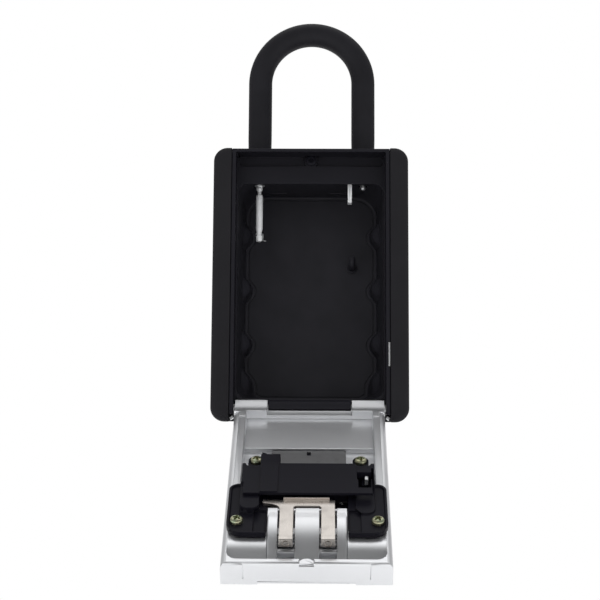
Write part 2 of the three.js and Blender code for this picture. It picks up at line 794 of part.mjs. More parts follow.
function stemClip() {
  const through = [clipBottom - overrun, clipBottom + overrun];
  const neck = rodZ(stemNeckRadius + seatGap / 2, stemPlace, through);
  const mouth = box(halves(stemNeckRadius * clipMouthShare).map((x) => x - legHalf),
    [shackleDepth - clipRadius - overrun, shackleDepth], through);
  return cut(rodZ(clipRadius, stemPlace, [clipBottom, clipBottom + clipThickness]), neck, mouth);
}

function stemBush() {
  return cut(rodZ(stemBushRadius, stemPlace, [bushBottom, bushBottom + stemBushHeight]),
    rodZ(stemRadius + runGap, stemPlace, [bushBottom - overrun, linerTop + overrun]));
}

function releaseCatch() {
  const across = [catchNose - catchLength, catchNose];
  const tabDepth = [catchFrontDepth, catchFrontDepth + tabWidth];
  const level = [catchLevel, catchLevel + catchThickness];
  const foot = level[1] - tabLength;
  const plate = box(across, [catchFrontDepth, shackleDepth + catchNoseWidth / 2], level);
  const bay = box([catchNose - catchNoseWidth / 2, catchNose + overrun],
    [catchFrontDepth - overrun, shackleDepth - catchNoseWidth / 2], level);
  const stem = box([tabSide, tabSide + tabThickness], tabDepth, [foot + tabTaperHeight, level[1]]);
  const tip = runY(polygon([
    [tabSide, foot + tabTaperHeight], [tabSide + tabThickness * tabTipShare, foot],
    [tabSide + tabThickness * (1 - tabTipShare), foot], [tabSide + tabThickness, foot + tabTaperHeight],
  ]), tabDepth);
  const arm = box(across, tabDepth, level);
  return join(cut(plate, bay), arm, stem, tip);
}

// Door: side profile in level and reach, round the hinge axis at its foot
function doorProfile(front, rim) {
  const shape = new THREE.Shape();
  const nose = -front;
  const noseSweep = THREE.MathUtils.degToRad(noseSweepAngle);
  shape.moveTo(front, 0);
  shape.absarc(0, 0, nose, Math.PI, Math.PI + noseSweep);
  shape.absarc(0, 0, knuckleRadius, Math.PI * 1.5, Math.PI * 2);
  shape.lineTo(knuckleRadius, knuckleRadius);
  shape.lineTo(rim, knuckleRadius + rim);
  shape.lineTo(rim, doorLength - doorCorner);
  shape.absarc(rim - doorCorner, doorLength - doorCorner, doorCorner, 0, Math.PI / 2);
  shape.lineTo(front, doorLength);
  shape.lineTo(front, 0);
  return shape;
}

// The recess arch in level and reach: a wall at its start, then a quarter wave down
function archProfile(start, end, top, bottom) {
  const shape = new THREE.Shape();
  shape.moveTo(bottom - overrun, start);
  shape.lineTo(top, start);
  for (let i = 0; i <= archSteps; i += 1) {
    const share = i / archSteps;
    const level = bottom + (top - bottom) * Math.cos((share * Math.PI) / 2);
    const run = archShoulderShare + (1 - archShoulderShare) * Math.sin((share * Math.PI) / 2);
    shape.lineTo(level, start + (end - start) * run);
  }
  shape.lineTo(bottom - overrun, end);
  return shape;
}

function doorTray() {
  const wall = [lowFloor, doorRim + overrun];
  return join(
    runY(roundedRect(halves(trayHalf), [trayStart, trayStep + overrun], edgeSoftening),
      [trayFloor, doorRim + overrun]),
    box(halves(trayHalf), wall, [trayStep, trayWideStart + overrun]),
    runY(roundedRect(halves(trayWideHalf), [trayWideStart, doorLength - endWallThickness], trayCorner), wall),
    box(halves(barrelWidth / 2 + barrelGap), [hingeWallRim, doorRim + overrun], [0, trayStart + overrun]),
  );
}

function coverChannel() {
  const reach = [notchReach - overrun, doorLength + overrun];
  return join(
    box(halves(channelHalf), [doorFront - overrun, channelFloor], reach),
    box(halves(channelHalf + grooveDepth), [frontLip, channelFloor], reach),
  );
}

// The arched shell of the recess, and the space under it with its two slots for the fork
function recessShell() {
  const inside = box(halves(humpHalf), [channelFloor, scoopRise + overrun], [0, doorLength]);
  const arch = archProfile(scoopStart - scoopShell, scoopEnd, scoopRise + scoopShell, channelFloor);
  return runX(arch, halves(humpHalf)).intersect(inside);
}

function recessSpace() {
  const arch = archProfile(scoopStart, scoopEnd - scoopShell, scoopRise, channelFloor - seatGap);
  const slots = [-forkLegCentre, forkLegCentre].flatMap((x) => {
    const side = halves(forkLegWidth / 2 + slotGap).map((v) => v + x);
    return [
      box(side, [0, scoopRise + overrun], [scoopStart + runGap, scoopEnd + overrun]),
      box(side, [forkLevel - runGap, scoopRise + overrun], [wheelReach, scoopEnd]),
    ];
  });
  return join(runX(arch, halves(scoopHalf)), ...slots);
}

function doorOpenings() {
  const notch = box(halves(barrelWidth / 2 + barrelGap), [doorFront - overrun, doorRim + overrun],
    [-overrun, notchReach]);
  const bore = rodX(hingePinRadius + runGap, [0, 0], halves(doorHalf + overrun));
  const window = box(halves(wheelsHalf + windowSideGap), [channelFloor - overrun, lowFloor + overrun],
    [wheelReach - windowReach, wheelReach + windowReach]);
  const pad = rodY(shelfScrewRadius + padClearance, [0, lipBottom - shelfScrewDrop - hingeHeight],
    [doorRim - shelfScrewHead - padClearance, doorRim + overrun]);
  const seams = [-channelHalf, channelHalf].map((x) => box([x - seamWidth / 2, x + seamWidth / 2],
    [channelFloor - overrun, doorRim + overrun], [doorLength - seamDepth, doorLength + overrun]));
  const holes = casePostPlaces().map(({ x, z, top }) => rodY(caseScrewShank + seatGap / 2, [x, z],
    [top - caseScrewLength, top + overrun]));
  return [notch, bore, window, pad, ...seams, ...holes];
}

function doorCasting() {
  const block = runX(doorProfile(doorFront, doorRim), halves(doorHalf), archSteps);
  const posts = casePostPlaces().map(({ x, z, top }) => {
    const level = [lowFloor - seatGap, top];
    const room = box(halves(trayWideHalf + seatGap), level, [0, doorLength]);
    return rodY(postRadius, [x, z], level).intersect(room);
  });
  const plugLevel = [doorFront + coverSkin + seatGap, channelFloor + seatGap];
  const plug = box(halves(coverPocketHalf - runGap), plugLevel, [doorLength - endWallThickness, doorLength]);
  const shell = join(cut(block, doorTray()), recessShell(), ...posts);
  return cut(join(cut(shell, coverChannel()), plug), recessSpace(), ...doorOpenings());
}

// The case is screwed to two low posts near its hinge side and two high ones
function casePostPlaces() {
  const low = flangeLevel - flangeThickness - seatGap;
  const high = earBottom - seatGap;
  return [-1, 1].flatMap((side) => [
    { x: side * topScrewSide, z: topScrewReach, top: low, seat: flangeLevel },
    { x: side * trayHalf, z: lowScrewReach, top: high, seat: earTop },
  ]);
}

function caseBody() {
  const outline = polygon([
    [caseBottom, caseStart], [caseTop - caseWall, caseStart], [caseTop, caseStart + caseWall],
    [caseTop, caseEnd - caseStepInset - caseWall], [caseTop - caseWall, caseEnd - caseStepInset],
    [caseStepLevel, caseEnd - caseStepInset], [caseStepLevel, caseEnd], [caseBottom, caseEnd],
  ]);
  return runX(outline, halves(caseSideHalf));
}

function caseTowers() {
  return [-1, 1].map((side) => {
    const span = side < 0 ? [-caseSideHalf, -towerInner] : [towerInner, caseSideHalf];
    const top = side < 0 ? towerTop : earTop;
    const level = (earBottom + top) / 2;
    return join(
      box(span, [caseBottom, level], [caseEnd - overrun, towerEnd]),
      runY(roundedRect(span, [caseEnd - overrun - towerRounding, towerEnd], towerRounding),
        [caseBottom, top]),
    );
  });
}

function caseEars() {
  const inner = [earStart + earRimWidth, earEnd - earRimWidth];
  const plate = runY(roundedRect(halves(earHalf), [earStart, earEnd], earCorner), [earBottom, earTop]);
  const dish = runY(roundedRect(halves(earHalf - earRimWidth), inner, earCorner - earRimWidth),
    [earTop - earRim, earTop + overrun]);
  const slot = box(halves(humpHalf + runGap), [caseBottom - overrun, earTop + overrun],
    [caseEnd - seatGap, earEnd + overrun]);
  return cut(plate, dish, slot);
}

function caseFlanges() {
  const across = [-doorWidth * caseTabOuterShare, -doorWidth * caseTabInnerShare];
  const raised = box(across, [caseBottom, caseTabTop], [caseTabStart, caseStart + caseWall]);
  const flanges = [-1, 1].map((side) => {
    const span = halves(flangeWidth / 2).map((x) => side * topScrewSide + x);
    return runY(roundedRect(span, [flangeStart, caseStart + caseWall], caseWall * 2),
      [flangeLevel - flangeThickness, flangeLevel]);
  });
  return join(raised, ...flanges);
}

// What the case leaves free: wheels, axle, comb, lever, screws, tray walls and posts
function caseSpaces() {
  const pocketHalf = wheelsHalf + caseWheelGap;
  const innerStart = caseStart + caseWall;
  const lever = halves(leverPocketWidth / 2).map((x) => x + leverSide);
  const beside = [[-earHalf - overrun, -trayHalf + runGap], [trayHalf - runGap, earHalf + overrun]];
  return [
    box(halves(pocketHalf), [caseBottom - overrun, caseStepLevel - caseWall],
      [innerStart, caseEnd - caseWall]),
    box(halves(pocketHalf), [caseBottom, caseTop - caseWall],
      [innerStart, caseEnd - caseStepInset - caseWall]),
    rodX(wheelRadius + caseWheelGap, [wheelLevel, wheelReach], halves(pocketHalf), wheelSides),
    rodX(axleRadius + seatGap / 2, [wheelLevel, wheelReach], halves(pocketHalf + axleGrip)),
    box(halves(pocketHalf), [combLevel - slotGap, combLevel + combThickness + slotGap],
      [caseEnd - overrun, caseEnd + overrun]),
    box(lever, [leverPocketFloor, caseTop + overrun], [leverPocketStart, leverPocketEnd]),
    ...beside.map((side) => box(side, [caseBottom - overrun, earBottom], [0, doorLength])),
    ...casePostPlaces().flatMap(({ x, z, top, seat }) => [
      rodY(postRadius + runGap, [x, z], [caseBottom - overrun, top + seatGap]),
      rodY(caseScrewRadius + seatGap, [x, z], [seat - earRim, caseTop + overrun]),
      rodY(caseScrewShank + seatGap / 2, [x, z], [top - overrun, seat + overrun]),
    ]),
  ];
}

function lockCase() {
  return cut(join(caseBody(), ...caseTowers(), caseEars(), caseFlanges()), ...caseSpaces());
}

function caseScrew({ x, z, seat }) {
  const solid = screw(caseScrewRadius, caseScrewHead, caseScrewShank, caseScrewLength);
  return facingBack(solid).translate([x, seat - earRim + seatGap / 2, z]);
}

function codeLever() {
  const x = leverSide;
  const start = leverPocketStart + slotGap;
  const foot = [leverPocketFloor + runGap, leverPocketFloor + runGap + leverFootHeight];
  return join(
    box(halves(leverFootWidth / 2).map((v) => v + x), foot, [start, start + leverFootLength]),
    box(halves(leverWidth / 2).map((v) => v + x), [foot[0], foot[1] + leverRise],
      halves(leverLength / 2).map((v) => v + start + leverFootLength / 2)),
  );
}

function floorPlate() {
  const thickness = [lowFloor + seatGap, lowFloor + seatGap + floorPlateThickness];
  const hole = box(halves(floorPlateHole), [lowFloor - overrun, doorRim],
    [floorPlateStart - overrun, floorPlateStart + floorPlateHole * 2]);
  return cut(box(halves(floorPlateHalf), thickness, [floorPlateStart, floorPlateEnd]), hole);
}

// Number wheels: ten shallow grips between the figures, turning about X
function wheelOutline() {
  const shape = new THREE.Shape();
  const steps = digitsPerWheel * stepsPerDigit;
  for (let i = 0; i < steps; i += 1) {
    const angle = (i / steps) * 2 * Math.PI;
    const ridge = Math.max(0, Math.cos(angle * digitsPerWheel)) ** 4;
    const radius = wheelRadius - wheelGripDepth * ridge;
    const point = [radius * Math.cos(angle), radius * Math.sin(angle)];
    if (i === 0) shape.moveTo(...point);
    else shape.lineTo(...point);
  }
  shape.closePath();
  return shape;
}

function wheelCentre(index) {
  return (index - (wheelCount - 1) / 2) * wheelPitch;
}

function numberWheel(index) {
  const x = wheelCentre(index);
  const half = wheelWidth / 2;
  const rim = runX(wheelOutline(), [x - half, x + half], 1);
  return cut(rim, rodX(wheelBore, [0, 0], [x - half - overrun, x + half + overrun], wheelSides));
}

function gateSleeve(index) {
  const x = wheelCentre(index);
  const start = x - wheelWidth / 2;
  const flange = x + wheelWidth / 2 + seatGap / 2;
  const solid = join(
    rodX(sleeveTubeRadius, [0, 0], [start, flange + seatGap], wheelSides),
    rodX(gateFlangeRadius, [0, 0], [flange, flange + gateFlangeThickness], wheelSides),
  );
  const gate = box([flange - seatGap, flange + overrun], halves(gateWidth / 2),
    [gateFlangeRadius - gateDepth, gateFlangeRadius + overrun]);
  return cut(solid, rodX(axleRadius + runGap, [0, 0], halves(wheelsHalf + overrun)), gate);
}

function wheelAxle() {
  return rodX(axleRadius, [wheelLevel, wheelReach], halves(wheelsHalf + caseWheelGap + axleGrip - seatGap));
}

// Latch fork: a bar pointed at its left end, two legs with raised tips, a flange
function latchFork() {
  const legOuter = forkLegCentre + forkLegWidth / 2;
  const legInner = forkLegCentre - forkLegWidth / 2;
  const barEnd = forkBarStart + forkBarWidth;
  const outline = polygon([
    [-forkPoint, forkBarStart], [legOuter, forkBarStart], [legOuter, forkTipReach],
    [legInner, forkTipReach], [legInner, barEnd], [-legInner, barEnd],
    [-legInner, forkTipReach], [-legOuter, forkTipReach], [-legOuter, barEnd],
    [-legOuter - forkBarWidth / 2, barEnd], [-forkPoint, forkBarStart + forkPointWidth],
  ]);
  const sheet = runY(outline, [forkLevel, forkTop]);
  const tips = [-forkLegCentre, forkLegCentre].map((x) => box(
    halves(forkLegWidth / 2).map((v) => v + x),
    [forkLevel, forkTop + forkTipRise], [forkTipReach - forkTipLength, forkTipReach]));
  const flange = box(halves(forkFlangeHalf), [forkLevel, forkTop + forkFlangeRise],
    [forkBarStart, forkBarStart + forkFlangeThickness]);
  const dimples = [-forkLegCentre, forkLegCentre].map((x) => rodZ(dimpleRadius,
    [x, forkLevel + (forkThickness + forkTipRise) / 2],
    [forkTipReach - dimpleDepth, forkTipReach + overrun], tubeSides));
  return cut(join(sheet, ...tips, flange), ...dimples);
}

function combTeeth() {
  const level = [combLevel, combLevel + combThickness];
  return Array.from({ length: wheelCount }, (_, index) => {
    const x = wheelCentre(index) + (wheelWidth + seatGap + gateFlangeThickness) / 2;
    return box(halves(combToothWidth / 2).map((v) => v + x), level,
      [combToothReach, combBarReach + runGap]);
  });
}

function fenceComb() {
  const level = [combLevel, combLevel + combThickness];
  const bar = box(halves(wheelsHalf), level, [combBarReach, combBarReach + combBarWidth]);
  const posts = [-forkLegCentre, forkLegCentre].map((x) => box(
    halves(combPostWidth / 2).map((v) => v + x),
    [combLevel, forkLevel - seatGap], [combBarReach, combBarReach + combBarWidth]));
  return join(bar, ...posts, ...combTeeth());
}

function thumbSlide() {
  const reach = [thumbReach, thumbReach + thumbWidth];
  const bar = runY(roundedRect(halves(thumbHalf), reach, edgeSoftening), [thumbFront, thumbBack], 4);
  const ribs = Array.from({ length: thumbRibs }, (_, i) => {
    const level = thumbFront + ((i + 1) * (thumbBack - thumbFront)) / (thumbRibs + 1);
    return box(halves(thumbHalf + overrun), halves(thumbRibDepth).map((v) => v + level),
      [reach[1] - thumbRibDepth, reach[1] + overrun]);
  });
  const lugs = [-forkLegCentre, forkLegCentre].map((x) => box(
    halves(lugWidth / 2).map((v) => v + x), [thumbBack - seatGap, forkLevel - seatGap],
    [reach[0], reach[1] - edgeSoftening]));
  return cut(join(bar, ...lugs), ...ribs);
}

// Weather cover: a plate with a tongue along each side, in the grooves of the door
function weatherCover() {
  const inner = doorFront + coverThickness;
  const half = channelHalf - runGap;
  const plate = box(halves(half), [doorFront, inner], [coverStart, coverEnd]);
  const tongue = box(halves(half + grooveDepth - seatGap), [frontLip + runGap, inner],
    [coverStart, coverEnd]);
  const pocket = box(halves(coverPocketHalf), [doorFront + coverSkin, inner + overrun],
    [coverStart - overrun, coverEnd + overrun]);
  const ribs = Array.from({ length: coverGripRibs }, (_, i) => {
    const reach = coverEnd - coverGripFromEnd - i * coverGripPitch;
    return box(halves(coverGripHalf), [doorFront - overrun, doorFront + coverGripDepth],
      [reach - coverGripDepth, reach + coverGripDepth]);
  });
  return cut(join(plate, tongue), pocket, ...ribs);
}

function group(...children) {
  const made = new THREE.Group();
  made.add(...children);
  return made;
}

function housing() {
  return group(
    piece('outer_jacket', outerJacket(), 'jacket'),
    piece('body_casting', bodyCasting(), 'casting'),
    piece('key_liner', keyLiner(), 'liner'),
    piece('key_hook', keyHook(), 'liner'),
    piece('shelf_screw', shelfScrew(), 'casting'),
    piece('back_plate', backPlate(), 'casting'),
    piece('hinge_barrel', hingeBarrel(), 'casting'),
    piece('hinge_pin_left', hingePin(-1), 'steel'),
    piece('hinge_pin_right', hingePin(1), 'steel'),
    piece('stop_tab_left', stopTab(-1), 'steel'),
    piece('stop_tab_right', stopTab(1), 'steel'),
    piece('rail_leaf', railLeaf(), 'steel'),
    piece('stem_bush', stemBush(), 'steel'),
    ...backScrewPlaces().map((place, i) => piece(`back_screw_${i + 1}`, backScrew(place), 'steel')),
  );
}

function shackle() {
  return group(
    piece('shackle_bow', shackleBow(), 'steel'),
    piece('shackle_sleeve', shackleSleeve(), 'sleeve'),
    piece('shackle_stem', shackleStem(), 'steel'),
    piece('stem_clip', stemClip(), 'steel'),
    piece('release_catch', releaseCatch(), 'steel'),
  );
}

function wheels() {
  const made = group(...Array.from({ length: wheelCount }, (_, i) => i).flatMap((i) => [
    piece(`number_wheel_${i + 1}`, numberWheel(i), 'wheel'),
    piece(`gate_sleeve_${i + 1}`, gateSleeve(i), 'nickel'),
  ]));
  made.position.set(0, wheelLevel, wheelReach);
  return made;
}

function door() {
  const made = group(
    piece('door_casting', doorCasting(), 'zinc'),
    piece('floor_plate', floorPlate(), 'plate'),
    piece('lock_case', lockCase(), 'lockCase'),
    ...casePostPlaces().map((place, i) => piece(`case_screw_${i + 1}`, caseScrew(place), 'screw')),
    piece('code_lever', codeLever(), 'nickel'),
    piece('wheel_axle', wheelAxle(), 'steel'),
    wheels(),
    piece('latch_fork', latchFork(), 'nickel'),
    piece('fence_comb', fenceComb(), 'steel'),
    piece('thumb_slide', thumbSlide(), 'zinc'),
    piece('weather_cover', weatherCover(), 'zinc'),
  );
  made.position.set(0, hingeDepth, hingeHeight);
  made.rotation.x = THREE.MathUtils.degToRad(openAngle);
  return made;
}

// The origin is the point that hangs: the underside of the bow
const body = group(housing(), shackle(), door());
body.position.set(0, -shackleDepth, -bowUnderside);

export default group(body);
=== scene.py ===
"""Combination key safe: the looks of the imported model.

A hanging key box with a drop-down door. Shapes are made in millimetres, in one of two places. HOUSING
takes x, depth and height on the housing. DOOR takes x, level (out of the door's inner face) and reach
(away from the hinge) and holds the door as it hangs open.
"""

import json
import math

import bmesh
import bpy
import numpy as np
from bpy.props import FloatProperty, FloatVectorProperty, PointerProperty
from mathutils import Matrix, Vector


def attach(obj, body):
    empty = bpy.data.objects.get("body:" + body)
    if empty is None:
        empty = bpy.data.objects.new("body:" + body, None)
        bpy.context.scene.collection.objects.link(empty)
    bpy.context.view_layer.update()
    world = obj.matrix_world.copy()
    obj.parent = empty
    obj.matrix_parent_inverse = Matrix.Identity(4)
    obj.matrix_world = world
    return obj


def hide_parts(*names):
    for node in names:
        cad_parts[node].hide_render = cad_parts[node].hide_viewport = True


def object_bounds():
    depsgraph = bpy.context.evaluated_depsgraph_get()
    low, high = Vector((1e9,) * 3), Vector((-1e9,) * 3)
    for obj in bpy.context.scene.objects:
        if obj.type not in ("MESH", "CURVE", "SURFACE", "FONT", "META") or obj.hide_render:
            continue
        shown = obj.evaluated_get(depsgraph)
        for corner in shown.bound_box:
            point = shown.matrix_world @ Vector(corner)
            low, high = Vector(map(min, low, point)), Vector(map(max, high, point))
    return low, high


bl_info = {
    "name": "Combination key safe",
    "version": (1, 0, 0),
    "blender": (4, 5, 0),
    "location": "View3D > Sidebar > Key safe",
    "description": "Builds the visible pieces of a combination key safe round its packed frame",
    "category": "Add Mesh",
}

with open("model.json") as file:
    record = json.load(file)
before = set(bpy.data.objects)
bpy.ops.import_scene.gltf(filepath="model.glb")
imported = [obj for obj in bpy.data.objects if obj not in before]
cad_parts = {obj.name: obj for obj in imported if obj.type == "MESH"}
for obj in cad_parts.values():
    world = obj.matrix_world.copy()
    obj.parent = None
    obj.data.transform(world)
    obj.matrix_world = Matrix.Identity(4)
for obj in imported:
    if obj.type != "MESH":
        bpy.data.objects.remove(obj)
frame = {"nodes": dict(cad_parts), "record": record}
CAD_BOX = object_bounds()

MM = 0.001
SCALE = Matrix.Scale(MM, 4)
HOUSING_DROP = 170.9
OPEN_ANGLE = math.radians(128)
HOUSING = Matrix.Translation((0, -22, -HOUSING_DROP))
DOOR = Matrix.Translation((0, -16.5, -164.4)) @ Matrix.Rotation(OPEN_ANGLE, 4, "X")

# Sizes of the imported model, in millimetres
BODY_HALF, BODY_HEIGHT, BODY_DEPTH, BOTTOM_DRAFT = 42, 119, 44, 4.2
RIM_SPAN = (-34.1, 34.1)
LEG_HALF, LEG_DEPTH, LEG_SEAT, SLEEVE_END, BOW_CENTRE = 22.9, 22, 108.7, 117.1, 153.2
LONG_LEG, SHORT_LEG = (-LEG_HALF, LEG_DEPTH), (LEG_HALF, LEG_DEPTH)
SHELF_SCREW = (0, 115.1)
LINER_FRONT, LINER_BACK, CHAMBER_FRONT, CHAMBER_BACK = 11.3, 41.4, 11.1, 39.0
BOSS_HEIGHTS, BOSS_REACH = (20.0, 37.3, 61.9, 86.3), 5.4
HOOK_PLACE = (18.35, 72.5)
PLATE_HOLE, HOLE_REACH = (-0.8, 0.8), (31.8, 34.2)
CASE_SCREWS = ((-20.7, 2.4, 43.8), (-26.4, 6.0, 88.0), (20.7, 2.4, 43.8), (26.4, 6.0, 88.0))
LEVER_PLACE = (22.1, 59.2)
FORK_LEG = 7.8
WHEEL_CENTRE, WHEEL_PITCH, WHEEL_WIDTH = (1.9, 62.5), 8.6, 6.6
WHEEL_RADIUS, WHEEL_BORE, FLAT_TURN, FIGURE_TURN = 6.6, 3.7, 13.5, 36


# Meshes: shapes are bmeshes in millimetres, pieces are Blender objects in metres


def linked(name, data):
    """A new object in the scene."""
    made = bpy.data.objects.new(name, data)
    bpy.context.scene.collection.objects.link(made)
    return made


def object_from(bm, name, place=Matrix.Identity(4)):
    """Turns a shape into a piece, set in its place."""
    bmesh.ops.transform(bm, matrix=SCALE @ place, verts=bm.verts)
    mesh = bpy.data.meshes.new(name)
    bm.to_mesh(mesh)
    bm.free()
    return linked(name, mesh)


def closed(bm, near=1e-4):
    """Merges doubles and turns every face outwards."""
    bmesh.ops.remove_doubles(bm, verts=bm.verts, dist=near)
    bmesh.ops.recalc_face_normals(bm, faces=bm.faces)
    return bm


def result_of(piece):
    """A piece's mesh with its modifiers applied."""
    bpy.context.view_layer.update()
    return bpy.data.meshes.new_from_object(piece.evaluated_get(bpy.context.evaluated_depsgraph_get()))


def evaluated(piece):
    """Applies all of a piece's modifiers and keeps the result as its plain mesh."""
    mesh, old = result_of(piece), piece.data
    piece.modifiers.clear()
    piece.data = mesh
    mesh.name = piece.name
    bpy.data.meshes.remove(old)
    return piece


def carve(piece, place, *shapes, operation="DIFFERENCE"):
    """Takes shapes in a place, or other pieces, out of the piece, one at a time."""
    for shape in shapes:
        tool = shape if isinstance(shape, bpy.types.Object) else object_from(shape, "tool", place)
        modifier = piece.modifiers.new("carve", "BOOLEAN")
        modifier.operation, modifier.solver, modifier.object = operation, "MANIFOLD", tool
        evaluated(piece)
        bpy.data.objects.remove(tool)
    return piece


def weld(piece, place, *shapes):
    """Joins shapes in a place to the piece, one at a time."""
    return carve(piece, place, *shapes, operation="UNION")


def shaded(piece, angle=35):
    """Smooth shading between faces that meet at less than the angle, flats kept flat."""
    piece.data.shade_smooth()
    piece.data.set_sharp_from_angle(angle=math.radians(angle))
    modifier = piece.modifiers.new("flats", "WEIGHTED_NORMAL")
    modifier.keep_sharp, modifier.weight = True, 80
    return evaluated(piece)


def each(value, count):
    """A list as it is, or one value for all."""
    return value if isinstance(value, (list, tuple)) else [value] * count


def arc(centre, radius, start, end, count):
    """Points on a circle, or with two radii an ellipse, between two angles in degrees."""
    across, upward = each(radius, 2)
    return [(centre[0] + across * math.cos(a), centre[1] + upward * math.sin(a))
            for a in np.radians(np.linspace(start, end, count))]


def outline_disc(radius, centre=(0, 0), sides=48):
    return arc(centre, radius, 0, 360, sides + 1)[:-1]


def outline_rect(x, y, radius, steps=8):
    """Points round a rectangle; radius is one number, or one for each corner."""
    (left, right), (low, high) = x, y
    corners = ((right, low, -1, 1, -90), (right, high, -1, -1, 0),
               (left, high, 1, -1, 90), (left, low, 1, 1, 180))
    points = []
    for (cx, cy, sx, sy, start), r in zip(corners, each(radius, 4)):
        points += arc((cx + sx * r, cy + sy * r), r, start, start + 90, steps + 1) if r > 0 else [(cx, cy)]
    return points


def inset(points, distance):
    """Moves a counter-clockwise outline inwards by a distance, with mitred corners."""
    p = np.array(points, float)
    sides = []
    for d in (p - np.roll(p, 1, 0), np.roll(p, -1, 0) - p):
        d /= np.maximum(np.linalg.norm(d, axis=1, keepdims=True), 1e-9)
        sides.append(np.stack([-d[:, 1], d[:, 0]], 1))
    n = sides[0] + sides[1]
    n /= np.maximum((n * sides[0]).sum(1, keepdims=True), 0.2)
    return p + n * distance


def solid(rings, capped=True):
    """A closed solid through rings of points, where a ring of one point is a tip."""
    bm = bmesh.new()
    made = [[bm.verts.new(p) for p in ring] for ring in rings]
    for a, b in zip(made, made[1:]):
        count = max(len(a), len(b))
        for i in range(count):
            j = (i + 1) % count
            face = dict.fromkeys((a[i % len(a)], a[j % len(a)], b[j % len(b)], b[i % len(b)]))
            if len(face) > 2:
                bm.faces.new(list(face))
    if capped:
        bm.faces.new(list(reversed(made[0])))
        bm.faces.new(made[-1])
    return closed(bm)


AXES = {
    "Z": lambda u, v, w: (u, v, w),
    "Y": lambda u, v, w: (u, w, v),
    "X": lambda u, v, w: (w, u, v),
}


def prism(points, span, axis="Z", edge=0, steps=3):
    """An outline run along an axis, with its edges rounded at both ends."""
    low, high = span
    levels = [(low, 0), (high, 0)]
    if edge:
        levels = arc((low + edge, edge), edge, 180, 270, steps + 1)
        levels += arc((high - edge, edge), edge, -90, 0, steps + 1)
    return solid([[AXES[axis](u, v, level) for u, v in (inset(points, amount) if amount else points)]
                  for level, amount in levels])


def block(x, y, z, radius=0):
    """A box in x, y, z spans, its upright edges along Z rounded by a radius."""
    return prism(outline_rect(x, y, radius, 4), z)


def turned(profile, axis="Z", centre=(0, 0), sides=48):
    """Pairs of radius and height turned about an axis."""
    return solid([[AXES[axis](u, v, h) for u, v in (outline_disc(r, centre, sides) if r > 0 else [centre])]
                  for r, h in profile], capped=False)


def rings_along(path, radius, sides):
    """Rings of one radius, or one for each point, square to a path of points."""
    points = [Vector(p) for p in path]
    neighbours = zip(points[:1] + points, points[1:] + points[-1:])
    side, rings = None, []
    for p, (before, after), r in zip(points, neighbours, each(radius, len(points))):
        ahead = (after - before).normalized()
        if side is None:
            side = ahead.orthogonal().normalized()
        side = (side - ahead * side.dot(ahead)).normalized()
        up = ahead.cross(side)
        rings.append([p + side * u + up * v for u, v in outline_disc(r, sides=sides)])
    return rings


def swept(path, radius, sides):
    """A round bar along a path."""
    return solid(rings_along(path, radius, sides))


def tube(path, outer, bore, sides):
    """A round tube along a path."""
    outside = rings_along(path, outer, sides)
    return solid(outside + rings_along(path, bore, sides)[::-1] + outside[:1], capped=False)


def mirrored(side, low, high):
    """A span on one side, in rising order."""
    return sorted((side * low, side * high))


def corner_waste(side, x, y, radius, steps):
    """The outline of what a round takes from the outer corner at x, y on one side."""
    corner = [(x + 1, y - radius), (x + 1, y + 1), (x - radius, y + 1)]
    corner += arc((x - radius, y - radius), radius, 90, 0, steps)
    return [(side * u, v) for u, v in corner]


# Softened copies: the merged mesh of a CAD node, with the edges that have room for it rounded


# Shares of a rounding's width that stay clear of a sharp edge and of any other edge
SHARP_ROOM, FLAT_ROOM = 0.78, 0.12
SHARP_EDGE, FLAT_EDGE = math.radians(38), math.radians(0.8)


def room_for(face, edges, width):
    """The face's edges whose rounding would meet no other edge of the face."""
    loops = list(face.loops)
    n = face.normal
    u = (loops[0].link_loop_next.vert.co - loops[0].vert.co).normalized()
    v = n.cross(u)
    co = np.array([(l.vert.co.dot(u), l.vert.co.dot(v)) for l in loops])
    end = np.roll(co, -1, 0)
    along = end - co
    length = np.maximum(np.linalg.norm(along, axis=1), 1e-9)
    unit = along / length[:, None]
    inward = np.stack([-unit[:, 1], unit[:, 0]], 1)
    probe = (co + end) / 2 + inward * width
    to = probe[:, None, :] - co[None, :, :]
    t = np.clip((to * unit[None]).sum(2), 0, length[None])
    near = co[None] + unit[None] * t[..., None]
    far = np.linalg.norm(probe[:, None, :] - near, axis=2)
    sharp = np.array([l.edge in edges for l in loops])
    np.fill_diagonal(far, 1e9)
    clear = (far >= np.where(sharp, SHARP_ROOM, FLAT_ROOM)[None] * width).all(1)
    crossing = ((co[None, :, 1] > probe[:, None, 1]) != (end[None, :, 1] > probe[:, None, 1]))
    with np.errstate(divide="ignore", invalid="ignore"):
        x = co[None, :, 0] + (probe[:, None, 1] - co[None, :, 1]) * along[None, :, 0] / along[None, :, 1]
    inside = (crossing & (probe[:, None, 0] < x)).sum(1) % 2 == 1
    return {l.edge for l, ok in zip(loops, clear & inside) if ok}


def round_edges(bm, width, segments):
    """Rounds the sharp edges that have room for it, by a width in millimetres."""
    bmesh.ops.dissolve_degenerate(bm, dist=1e-2, edges=bm.edges)
    bmesh.ops.dissolve_limit(bm, angle_limit=FLAT_EDGE, verts=bm.verts, edges=bm.edges)
    bm.normal_update()
    edges = {e for e in bm.edges if len(e.link_faces) == 2 and e.calc_face_angle(0) > SHARP_EDGE}
    for share in (1, 0.5):
        crowded = set()
        for face in bm.faces:
            crowded |= {l.edge for l in face.loops} - room_for(face, edges, width * share)
        chosen = [e for e in edges if e not in crowded]
        if chosen:
            bmesh.ops.bevel(bm, geom=chosen, offset=width * share, offset_type="OFFSET", segments=segments,
                            profile=0.5, affect="EDGES", clamp_overlap=False, loop_slide=True)
            break
    bmesh.ops.dissolve_degenerate(bm, dist=1e-3, edges=bm.edges)
    return bm


